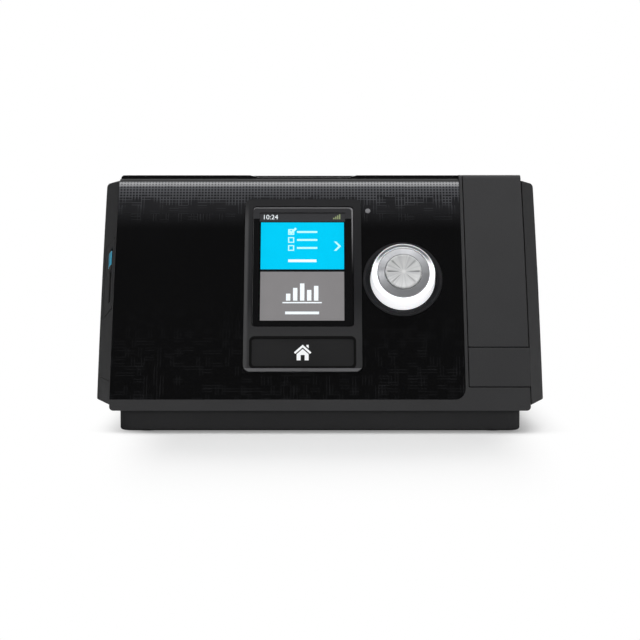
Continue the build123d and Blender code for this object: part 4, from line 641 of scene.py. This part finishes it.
def flatShape(name, outlines, material, body, place, thickness=0.03):
    # thin plate with the given closed outlines in mm; an outline inside another is a hole
    curve = bpy.data.curves.new(name, "CURVE")
    curve.dimensions = "2D"
    curve.fill_mode = "BOTH"
    curve.extrude = thickness * mm / 2
    for points in outlines:
        spline = curve.splines.new("POLY")
        spline.points.add(len(points) - 1)
        for point, (x, y) in zip(spline.points, points):
            point.co = (x * mm, y * mm, 0, 1)
        spline.use_cyclic_u = True
    piece = bpy.data.objects.new(name, curve)
    bpy.context.scene.collection.objects.link(piece)
    return settle(piece, name, material, body, place)


def rectangle(x, y, width, height):
    left, low = x - width / 2, y - height / 2
    return [(left, low), (left + width, low), (left + width, low + height), (left, low + height)]


def rounded(x, y, width, height, corner, steps=8):
    points = []
    for k, (sideX, sideY) in enumerate(((1, 1), (-1, 1), (-1, -1), (1, -1))):
        for step in range(steps + 1):
            turn = math.radians(90 * (k + step / steps))
            points.append((
                x + sideX * (width / 2 - corner) + corner * math.cos(turn),
                y + sideY * (height / 2 - corner) + corner * math.sin(turn)))
    return points


def ring(x, y, size, line):
    inner = size - 2 * line
    return [rectangle(x, y, size, size), rectangle(x, y, inner, inner)[::-1]]


def glow(name, shade, strength=1.0):
    # backlit display: gives its own light, a little uneven over some 8 mm as a diffuser makes it
    material, tree, shader = newMaterial(
        name, Roughness=0.25, Emission_Strength=strength, Specular_IOR_Level=0.0,
        Base_Color=colour(shade, 0.2))
    place = addNode(tree, "TexCoord").outputs["Object"]
    patches = addNode(tree, "TexNoise", Vector=place, Scale=1 / (8 * mm), Detail=1.0)
    tint = addNode(tree, "Mix:RGBA", patches, colour(shade, 0.93), colour(shade))
    plug(tree, shader, Emission_Color=tint)
    return material


screen = {
    "x": -8.15, "z": 68.2, "rise": 7.2, "depth": -3.24,  # place of the picture on the leaning front
    "width": 38.5,
    "blue": (-1.2, 22.2), "grey": (-26.4, -2.4), "bar": (22.6, 28.6),  # low and high edges, up the slope
    "barExtra": 1.8,  # the bar is this much wider
}
screenPlace = frontPlace(screen["x"], screen["z"], screen["depth"]) @ Matrix.Translation(
    (0, screen["rise"] * mm, 0))
# lit layers of the display: plain even colours that stay bright in any light
blueGlow = glow("blueBacklight", "#00c8f2")
greyGlow = glow("greyBacklight", "#838182")
barGlow = glow("barBacklight", "#39393b")
whiteGlow = glow("whiteBacklight", "#f4fbff")
paleGlow = glow("paleBacklight", "#c4fbff")
dimGlow = glow("dimBacklight", "#8f9a72")


def onScreen(name, outlines, material, lift=0.0):
    place = screenPlace @ Matrix.Translation((0, 0, lift * mm))
    flatShape(name, outlines, material, "housing", place)


for name, key, extra, material in (
        ("blueTile", "blue", 0.0, blueGlow), ("greyTile", "grey", 0.0, greyGlow),
        ("statusBar", "bar", screen["barExtra"], barGlow)):
    low, high = screen[key]
    onScreen(name, [rectangle(0, (low + high) / 2, screen["width"] + extra, high - low)], material)

# what is drawn on the tiles, in mm from the middle of the picture
icons = {
    "lift": 0.05, "tickLift": 0.09,
    "rows": (17.4, 13.4, 9.4),  # heights of the list's rows
    "box": (-5.2, 2.8, 0.5),  # x, size and line of a tick box
    "entry": (2.2, 9.4, 0.9),  # x, width and height of the bar beside it
    "tick": [(-6.6, 17.6), (-5.9, 18.3), (-5.2, 17.6), (-3.3, 19.6), (-2.6, 18.9), (-5.2, 16.2)],
    "arrow": [(14.6, 12.6), (15.7, 12.6), (17.9, 10.3), (15.7, 8.0), (14.6, 8.0), (16.7, 10.3)],
    "chart": (3.4, 6.2, 8.4, 5.2, 7.2),  # heights of the bars of a night's record
    "chartX": -6.4, "chartStep": 3.2, "chartWidth": 2.0, "chartFoot": -16.6,
    "baseLine": (0, -17.6, 18.0, 0.6),
    "captions": ((0, 3.0, 13.0, 1.3), (0, -22.6, 15.5, 1.3)),
    # x, y and height of the bars that show the signal
    "signal": ((14.6, 24.2, 0.7), (15.5, 24.5, 1.3), (16.4, 24.8, 1.9), (17.3, 25.1, 2.5)),
    "signalWidth": 0.6,
    "time": "10:24", "clock": (-18.6, 23.8, 3.3, 0.015),  # x, y, size and thickness of its digits
}
boxX, boxSize, boxLine = icons["box"]
entryX, entryWidth, entryHeight = icons["entry"]
listing = []
for y in icons["rows"]:
    listing += ring(boxX, y, boxSize, boxLine)
    listing.append(rectangle(entryX, y, entryWidth, entryHeight))
onScreen("listIcon", listing, paleGlow, icons["lift"])
onScreen("tickMark", [icons["tick"]], paleGlow, icons["tickLift"])
onScreen("nextArrow", [icons["arrow"]], paleGlow, icons["lift"])
bars = []
for k, height in enumerate(icons["chart"]):
    x, y = icons["chartX"] + k * icons["chartStep"], icons["chartFoot"] + height / 2
    bars.append(rectangle(x, y, icons["chartWidth"], height))
bars.append(rectangle(*icons["baseLine"]))
onScreen("chartIcon", bars, whiteGlow, icons["lift"])
onScreen("captionBars", [rectangle(*caption) for caption in icons["captions"]], whiteGlow, icons["lift"])
signal = []
for x, y, height in icons["signal"]:
    signal.append(rectangle(x, y, icons["signalWidth"], height))
onScreen("signalBars", signal, dimGlow, icons["lift"])

clockX, clockY, clockSize, clockThickness = icons["clock"]
bpy.ops.object.select_all(action="DESELECT")
bpy.ops.object.text_add()
clock = bpy.context.object
clock.data.body = icons["time"]
clock.data.size = clockSize * mm
clock.data.extrude = clockThickness * mm
clock.data.align_x = "LEFT"
clockPlace = screenPlace @ Matrix.Translation((clockX * mm, clockY * mm, icons["lift"] * mm))
settle(clock, "clockDigits", whiteGlow, "housing", clockPlace)
print("screen picture done")

# what is round the home key and on it, in mm from the key's middle
homeTrim = {
    "x": -7.8, "z": 35.45, "out": 0.8,
    "markOut": 0.51,
    "roof": [(-3.9, 0.1), (0, 3.7), (3.9, 0.1), (3.3, -0.6), (0, 2.4), (-3.3, -0.6)],
    "chimney": [(1.7, 2.9), (2.7, 2.0), (2.7, 3.6), (1.7, 3.6)],
    "walls": [
        (-2.7, -0.7), (0, 1.7), (2.7, -0.7), (2.7, -3.6), (0.9, -3.6), (0.9, -1.1), (-0.9, -1.1),
        (-0.9, -3.6), (-2.7, -3.6)],
    "gapShade": (0, 0, 48.2, 15.3, 2.4),  # x, y, width, height and corner of its outside
    "gapShadeHole": (0, 0.15, 45.9, 13.0, 1.5),
    "gapShadeThickness": 0.12,
    "sill": [(-26.4, -7.4), (26.4, -7.4), (26.3, -7.6), (24.5, -8.9), (-24.5, -8.9), (-26.3, -7.6)],
    "sillThickness": 0.14,
}
markPlace = frontPlace(homeTrim["x"], homeTrim["z"], homeTrim["markOut"])
trimPlace = frontPlace(homeTrim["x"], homeTrim["z"], homeTrim["out"])
# white pad-printed ink with a painted glow, so that it stays even and a little bright
whiteInkPaintedGlow = glow("whiteInkPaintedGlow", "#f2f4f5", 0.9)
house = [homeTrim["roof"], homeTrim["chimney"], homeTrim["walls"]]
flatShape("houseMark", house, whiteInkPaintedGlow, "home_key", markPlace)
# a matt black ring laid round the key on the bezel: painted shade in its gap
gapShadeBlack = moulded("paintedGapShade", "#060606", 0.8, 0.5, 0.02, specular=0.15)
gapShade = [rounded(*homeTrim["gapShade"]), rounded(*homeTrim["gapShadeHole"])[::-1]]
flatShape(
    "keyGapShade", gapShade, gapShadeBlack, "housing", trimPlace,
    homeTrim["gapShadeThickness"])
# a paler satin strip along the bezel's foot: a painted highlight on its lower chamfer
sillHighlight = moulded("paintedSillHighlight", "#69696b", 0.3, 0.3, 0.003, specular=0.35)
flatShape(
    "bezelSillHighlight", [homeTrim["sill"]], sillHighlight, "housing", trimPlace,
    homeTrim["sillThickness"])
print("home key's mark and trim done")


def turned(rings, steps=128):
    # ring by ring up a profile of (radius, height) in mm, by extruding and scaling a circle
    bpy.ops.object.select_all(action="DESELECT")
    radius, height = rings[0]
    bpy.ops.mesh.primitive_circle_add(vertices=steps, radius=radius * mm, location=(0, 0, 0))
    piece = bpy.context.object
    bpy.ops.object.mode_set(mode="EDIT")
    bpy.ops.mesh.select_all(action="SELECT")
    bpy.ops.transform.translate(value=(0, 0, height * mm))
    for nextRadius, nextHeight in rings[1:]:
        bpy.ops.mesh.extrude_region_move(
            TRANSFORM_OT_translate={"value": (0, 0, (nextHeight - height) * mm)})
        factor = nextRadius / radius
        bpy.ops.transform.resize(value=(factor, factor, 1), center_override=(0, 0, nextHeight * mm))
        radius, height = nextRadius, nextHeight
    if rings[0] != rings[-1]:
        bpy.ops.mesh.merge(type="CENTER")  # an open profile ends at the axis
    bpy.ops.mesh.select_all(action="SELECT")
    bpy.ops.mesh.remove_doubles(threshold=0.003 * mm)
    bpy.ops.mesh.fill_holes(sides=0)  # the pole under the disc
    bpy.ops.mesh.normals_make_consistent(inside=False)
    bpy.ops.object.mode_set(mode="OBJECT")
    return piece


dialShape = {
    "x": 37.8, "z": 68.2,
    # radius and height in mm; the skirt and the ring are closed, the cap starts and ends at the axis
    "skirt": [
        (2.83, -0.6), (5.2, -0.6), (5.2, 5.5), (12.5, 5.5), (13.0, -1.2), (14.6, -1.2), (14.8, -0.9),
        (14.38, 6.8), (14.28, 7.3), (14.1, 7.55), (13.85, 7.65), (13.6, 7.55), (13.45, 7.3), (12.7, 7.3),
        (12.55, 7.6), (12.3, 7.7), (12.05, 7.6), (11.95, 7.1), (2.83, 7.1), (2.83, -0.6)],
    "ring": [
        (8.3, 7.1), (11.9, 7.1), (11.9, 7.6), (11.8, 7.85), (11.6, 8.0), (11.2, 8.12), (9.0, 8.75),
        (8.75, 8.8), (8.5, 8.75), (8.35, 8.6), (8.3, 8.4), (8.3, 7.1)],
    "cap": [
        (0.02, 7.1), (8.2, 7.1), (8.2, 9.15), (8.1, 9.4), (7.9, 9.56), (7.6, 9.6), (7.2, 9.55),
        (4.0, 9.42), (0.02, 9.36)],
    "smooth": 28,  # degrees up to which its edges are shaded smooth
}
dialPlace = frontPlace(dialShape["x"], dialShape["z"])


def dialFrame(tree):
    # place on the dial in mm: across, up and out from the middle of its foot
    place = addNode(tree, "TexCoord").outputs["Object"]
    shift = addNode(tree, "VectorMath:SUBTRACT", place, tuple(dialPlace.translation))
    inMm = addNode(tree, "VectorMath:SCALE", shift, Scale=1 / mm)
    turn = dialPlace.inverted().to_euler()
    flat = addNode(tree, "Mapping:POINT", inMm, Rotation=tuple(turn))
    return addNode(tree, "SeparateXYZ", flat).outputs[:]


# the skirt is no lamp: its glow is painted light
skirtFinish = {
    "white": ("#eef0f2", "#f8f9fa"), "glow": "#fbfdff", "strength": 0.76,
    "land": (7.0, 7.25),  # heights over the front at which the top of the rim starts
    "upper": (1.0, 9.0),  # above the axis by this much, the rim's top is painted dim and grey, as painted shade
    "highlightRidge": (7.4, 7.62),  # heights of the painted highlights on its ridges
    "clear": "#8d9093", "highlightRidgeShade": "#e9ebed", "unlit": "#161718",
}


def milkyAcrylic():
    # translucent white acrylic with a painted glow, brightest below; above the axis the top of its rim
    # is painted dim and grey as painted shade, with painted highlights on its ridges
    size = skirtFinish
    material, tree, shader = newMaterial(
        "milkyAcrylic", Subsurface_Weight=0.2, Subsurface_Scale=3 * mm, IOR=1.49, Coat_Weight=0.4,
        Coat_Roughness=0.05, Emission_Strength=size["strength"])
    up, out = dialFrame(tree)[1:]
    place = addNode(tree, "TexCoord").outputs["Object"]
    cloud = addNode(tree, "TexNoise", Vector=place, Scale=1 / (7 * mm), Detail=2.0)
    land = addNode(tree, softStep, out, *size["land"])
    upper = addNode(tree, softStep, up, *size["upper"])
    clear = addNode(tree, "Math:MULTIPLY", land, upper)
    highlightRidge = addNode(tree, softStep, out, *size["highlightRidge"])
    white = addNode(tree, "Mix:RGBA", cloud, *[colour(shade) for shade in size["white"]])
    rim = addNode(tree, "Mix:RGBA", highlightRidge, colour(size["clear"]), colour(size["highlightRidgeShade"]))
    tint = addNode(tree, "Mix:RGBA", clear, white, rim)
    # the painted glow: bright below, unlit on the upper part of the rim's top
    light = addNode(tree, "Mix:RGBA", clear, colour(size["glow"]), colour(size["unlit"]))
    rough = addNode(tree, softStep, cloud, 0.2, 0.8, 0.18, 0.26)
    plug(tree, shader, Base_Color=tint, Emission_Color=light, Roughness=rough)
    return material


ringFinish = {
    "shade": "#a6a7aa", "dull": 0.88, "roughness": (0.60, 0.46), "metallic": 0.7,
    "glints": 1.2, "lathe": 0.12, "relief": 0.003,  # mm between the lathe's rings, and their height
}


def satinChrome():
    # chrome over a faced ring: fine rings, and a faint fan of painted glints, paler and glossier by
    # angle, that turns with the dial
    size = ringFinish
    material, tree, shader = newMaterial("satinChrome", Metallic=size["metallic"])
    across, up = dialFrame(tree)[:2]
    reach = addNode(tree, "VectorMath:LENGTH", addNode(tree, "CombineXYZ", across, up))
    angle = addNode(tree, "Math:ARCTAN2", up, across)
    fan = addNode(tree, "TexNoise:1D", W=angle, Scale=size["glints"], Detail=3.0)
    rings = addNode(tree, "TexNoise:1D", W=reach, Scale=1 / size["lathe"], Detail=1.0)
    # paler wedges by angle: painted glints
    bright = addNode(tree, softStep, fan, 0.36, 0.5)
    tint = addNode(tree, "Mix:RGBA", bright, colour(size["shade"], size["dull"]), colour(size["shade"]))
    rough = addNode(tree, softStep, fan, 0.3, 0.7, *size["roughness"])
    bump = addNode(tree, "Bump", Strength=0.6, Distance=size["relief"] * mm, Height=rings)
    plug(tree, shader, Base_Color=tint, Roughness=rough, Normal=bump)
    return material


discFinish = {
    "shades": ("#d3d4d5", "#eff0f0"), "roughness": (0.42, 0.3), "metallic": 0.4,
    "glints": 8, "glintShade": "#77787a",
    "glintWidth": (0.13, 0.01),  # shares of the turn from one glint to the next
    "glintSides": 1.5,  # how much more the painted glints show to the left and right
    "glintFrom": (1.2, 3.0), "glintTo": (8.2, 6.6),  # mm from the axis
    "highlightPip": (1.4, 0.3), "highlightPipShade": "#ffffff",
    "lathe": 0.12, "relief": 0.01,  # mm between the lathe's rings, and their height
}


def facedDisc():
    # aluminium disc faced on a lathe: fine rings, with painted reflections: dark glints in eight ways,
    # paler wedges, and a painted highlight as a bright pip in the middle
    size = discFinish
    material, tree, shader = newMaterial("facedAluminium", Metallic=size["metallic"])
    across, up = dialFrame(tree)[:2]
    reach = addNode(tree, "VectorMath:LENGTH", addNode(tree, "CombineXYZ", across, up))
    angle = addNode(tree, "Math:ARCTAN2", up, across)
    # dark glints in eight ways, stronger to the left and right: painted reflections
    turns = addNode(tree, "Math:MULTIPLY_ADD", angle, size["glints"] / (2 * math.pi), 0.5)
    off = addNode(tree, "Math:SUBTRACT", addNode(tree, "Math:FRACT", turns), 0.5)
    near = addNode(tree, softStep, addNode(tree, "Math:ABSOLUTE", off), *size["glintWidth"])
    level = addNode(tree, "Math:ABSOLUTE", addNode(tree, "Math:COSINE", angle))
    sideways = addNode(tree, "Math:POWER", level, size["glintSides"])
    start = addNode(tree, softStep, reach, *size["glintFrom"])
    end = addNode(tree, softStep, reach, *size["glintTo"])
    glint = addNode(tree, "Math:MULTIPLY", near, sideways)
    glint = addNode(tree, "Math:MULTIPLY", glint, addNode(tree, "Math:MULTIPLY", start, end))
    fan = addNode(tree, "TexNoise:1D", W=angle, Scale=3.0, Detail=2.0)
    rings = addNode(tree, "TexNoise:1D", W=reach, Scale=1 / size["lathe"], Detail=1.0)
    # paler and darker wedges by angle: painted reflection
    bright = addNode(tree, softStep, fan, 0.35, 0.6)
    tint = addNode(tree, "Mix:RGBA", bright, *[colour(shade) for shade in size["shades"]])
    tint = addNode(tree, "Mix:RGBA", glint, tint, colour(size["glintShade"]))
    # a bright pip in the middle: a painted highlight
    highlightPip = addNode(tree, softStep, reach, *size["highlightPip"])
    tint = addNode(tree, "Mix:RGBA", highlightPip, tint, colour(size["highlightPipShade"]))
    rough = addNode(tree, softStep, fan, 0.3, 0.7, *size["roughness"])
    bump = addNode(tree, "Bump", Strength=0.6, Distance=size["relief"] * mm, Height=rings)
    plug(tree, shader, Base_Color=tint, Roughness=rough, Normal=bump)
    return material


for key, name, node, material, slot in (
        ("skirt", "dialSkirt", "dial_skirt", milkyAcrylic(), "skirt_white"),
        ("ring", "dialRing", "dial_ring", satinChrome(), "ring_dark"),
        ("cap", "dialFace", "dial_cap", facedDisc(), "cap_aluminium")):
    piece = turned(dialShape[key])
    piece = settle(piece, name, material, "dial", dialPlace, dialShape["smooth"])
    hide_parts(node)
print("dial done")

# pale floor, white surroundings and soft lamps; lengths in metres
studio = {
    "floorSize": 6.0, "paper": "#efefef",
    "paperBounce": "#c8c8c8",  # what the floor looks like to all but the camera
    "floorGlow": 0.26,  # of the floor's white that needs no lamp, near the object
    # half sizes of the shaded patch and the width of its soft edge, sideways and lengthways
    "shadowHalf": (0.08, 0.075),
    "shadowEdge": (0.032, 0.185),
    "shadowShift": 0.005,  # the shadow lies this much to the right
    "shadowNarrow": (-0.064, -0.085, 0.016),  # in front of the object it is narrower by this
    # what shiny faces see is white overhead, from angle to angle in degrees, dim in front and behind
    "mirrorRise": (58, 95, 0.05),
    "mirrorFall": (108, 145, 0.2),
    "mirrorSides": (0.2, 0.55, 0.12),  # and it dims to the last number sideways
    "ambient": (-0.8, 0.5, 0.055, 0.17),  # the light from all around, weaker from the left
    "aim": (0, 0, 0.06),  # where the lamps point
    "noShine": ("front",),  # lights without a reflection of their own
    "shineOnly": ("left",),
}
# x, y and z, width and depth in metres, and watts
lamps = {
    "top": (0.0, -0.26, 1.3, 1.5, 0.9, 13.0),
    "back": (0.0, 1.2, 0.95, 1.8, 0.7, 16.0),
    "front": (0.3, -1.6, 0.5, 1.8, 0.4, 5.1),
    "left": (-0.68, -1.0, 1.13, 0.5, 0.5, 6.0),
    "right": (1.3, -0.9, 0.7, 0.7, 0.7, 1.3),
}


def palePaper():
    # uncoated white paper: even and dull; it gives part of its white itself, but for a soft patch
    # under the object, where the lamps' shadow shows
    size = studio
    material, tree = newMaterial("palePaper")[:2]
    tree.nodes.clear()
    place = addNode(tree, "TexCoord").outputs["Object"]
    x, y = addNode(tree, "SeparateXYZ", place).outputs[:2]
    near, far, less = size["shadowNarrow"]
    narrow = addNode(tree, softStep, y, far, near, less, 0.0)
    shifted = addNode(tree, "Math:SUBTRACT", x, size["shadowShift"])
    aside = addNode(tree, "Math:ADD", addNode(tree, "Math:ABSOLUTE", shifted), narrow)
    lengthways = addNode(tree, "Math:ABSOLUTE", y)
    beyond = []
    for distance, half, edge in zip((aside, lengthways), size["shadowHalf"], size["shadowEdge"]):
        past = addNode(tree, "Math:MAXIMUM", addNode(tree, "Math:SUBTRACT", distance, half), 0.0)
        beyond.append(addNode(tree, "Math:DIVIDE", past, edge))
    away = addNode(tree, "VectorMath:LENGTH", addNode(tree, "CombineXYZ", *beyond))
    fade = addNode(tree, softStep, away, 0.0, 1.0)
    glowing = addNode(tree, "MapRange:LINEAR", fade, 0.0, 1.0, size["floorGlow"], 1.0)
    rest = addNode(tree, "MapRange:LINEAR", fade, 0.0, 1.0, 1.0 - size["floorGlow"], 0.0)
    ownLight = addNode(tree, "Emission", colour("#ffffff"), glowing)
    empty = addNode(tree, "BsdfDiffuse", Color=colour("#000000"))
    lit = addNode(tree, "BsdfDiffuse", Color=colour(size["paper"]))
    seen = addNode(tree, "AddShader", ownLight, addNode(tree, "MixShader", rest, empty, lit))
    plain = addNode(tree, "BsdfDiffuse", Color=colour(size["paperBounce"]))
    isCamera = addNode(tree, "LightPath").outputs["Is Camera Ray"]
    addNode(tree, "OutputMaterial", addNode(tree, "MixShader", isCamera, plain, seen))
    return material


def makeFloor():
    bpy.ops.object.select_all(action="DESELECT")
    bpy.ops.mesh.primitive_plane_add(size=studio["floorSize"], location=(0, 0, 0))
    floor = bpy.context.object
    floor.name = "floor"
    floor.data.materials.append(palePaper())


def makeWorld():
    # white to the eye and behind the object, dim in front and above it, so that gloss stays black
    world = bpy.data.worlds.new("studio")
    bpy.context.scene.world = world
    world.use_nodes = True
    tree = world.node_tree
    tree.nodes.clear()
    x, y, z = addNode(tree, "SeparateXYZ", addNode(tree, "TexCoord").outputs["Generated"]).outputs
    climb = addNode(tree, "Math:ARCTAN2", z, addNode(tree, "Math:MULTIPLY", y, -1.0))
    start, end, low = studio["mirrorRise"]
    rise = addNode(tree, softStep, climb, math.radians(start), math.radians(end), low, 1.0)
    start, end, low = studio["mirrorFall"]
    fall = addNode(tree, softStep, climb, math.radians(start), math.radians(end), 1.0, low)
    start, end, low = studio["mirrorSides"]
    aside = addNode(tree, "Math:ABSOLUTE", x)
    middle = addNode(tree, softStep, aside, start, end, 1.0, low)
    mirror = addNode(tree, "Math:MULTIPLY", addNode(tree, "Math:MULTIPLY", rise, fall), middle)
    ambient = addNode(tree, softStep, x, *studio["ambient"])
    path = addNode(tree, "LightPath").outputs
    dim = addNode(tree, "Mix:FLOAT", path["Is Glossy Ray"], ambient, mirror)
    clear = addNode(tree, "Math:MAXIMUM", path["Is Camera Ray"], path["Is Transmission Ray"])
    level = addNode(tree, "Mix:FLOAT", clear, dim, 1.0)
    addNode(tree, "OutputWorld", addNode(tree, "Background", colour("#ffffff"), level))


def makeLamp(name):
    x, y, z, width, depth, watts = lamps[name]
    data = bpy.data.lights.new(name, "AREA")
    data.shape = "RECTANGLE"
    data.size, data.size_y = width, depth
    data.energy = watts
    lamp = bpy.data.objects.new(name, data)
    bpy.context.scene.collection.objects.link(lamp)
    lamp.location = (x, y, z)
    lamp.visible_glossy = name not in studio["noShine"]
    lamp.visible_diffuse = name not in studio["shineOnly"]
    aim = Vector(studio["aim"]) - lamp.location
    lamp.rotation_euler = aim.to_track_quat("-Z", "Y").to_euler()


makeFloor()
makeWorld()
for name in lamps:
    makeLamp(name)
bpy.context.scene.view_settings.view_transform = "Standard"
print("studio done")
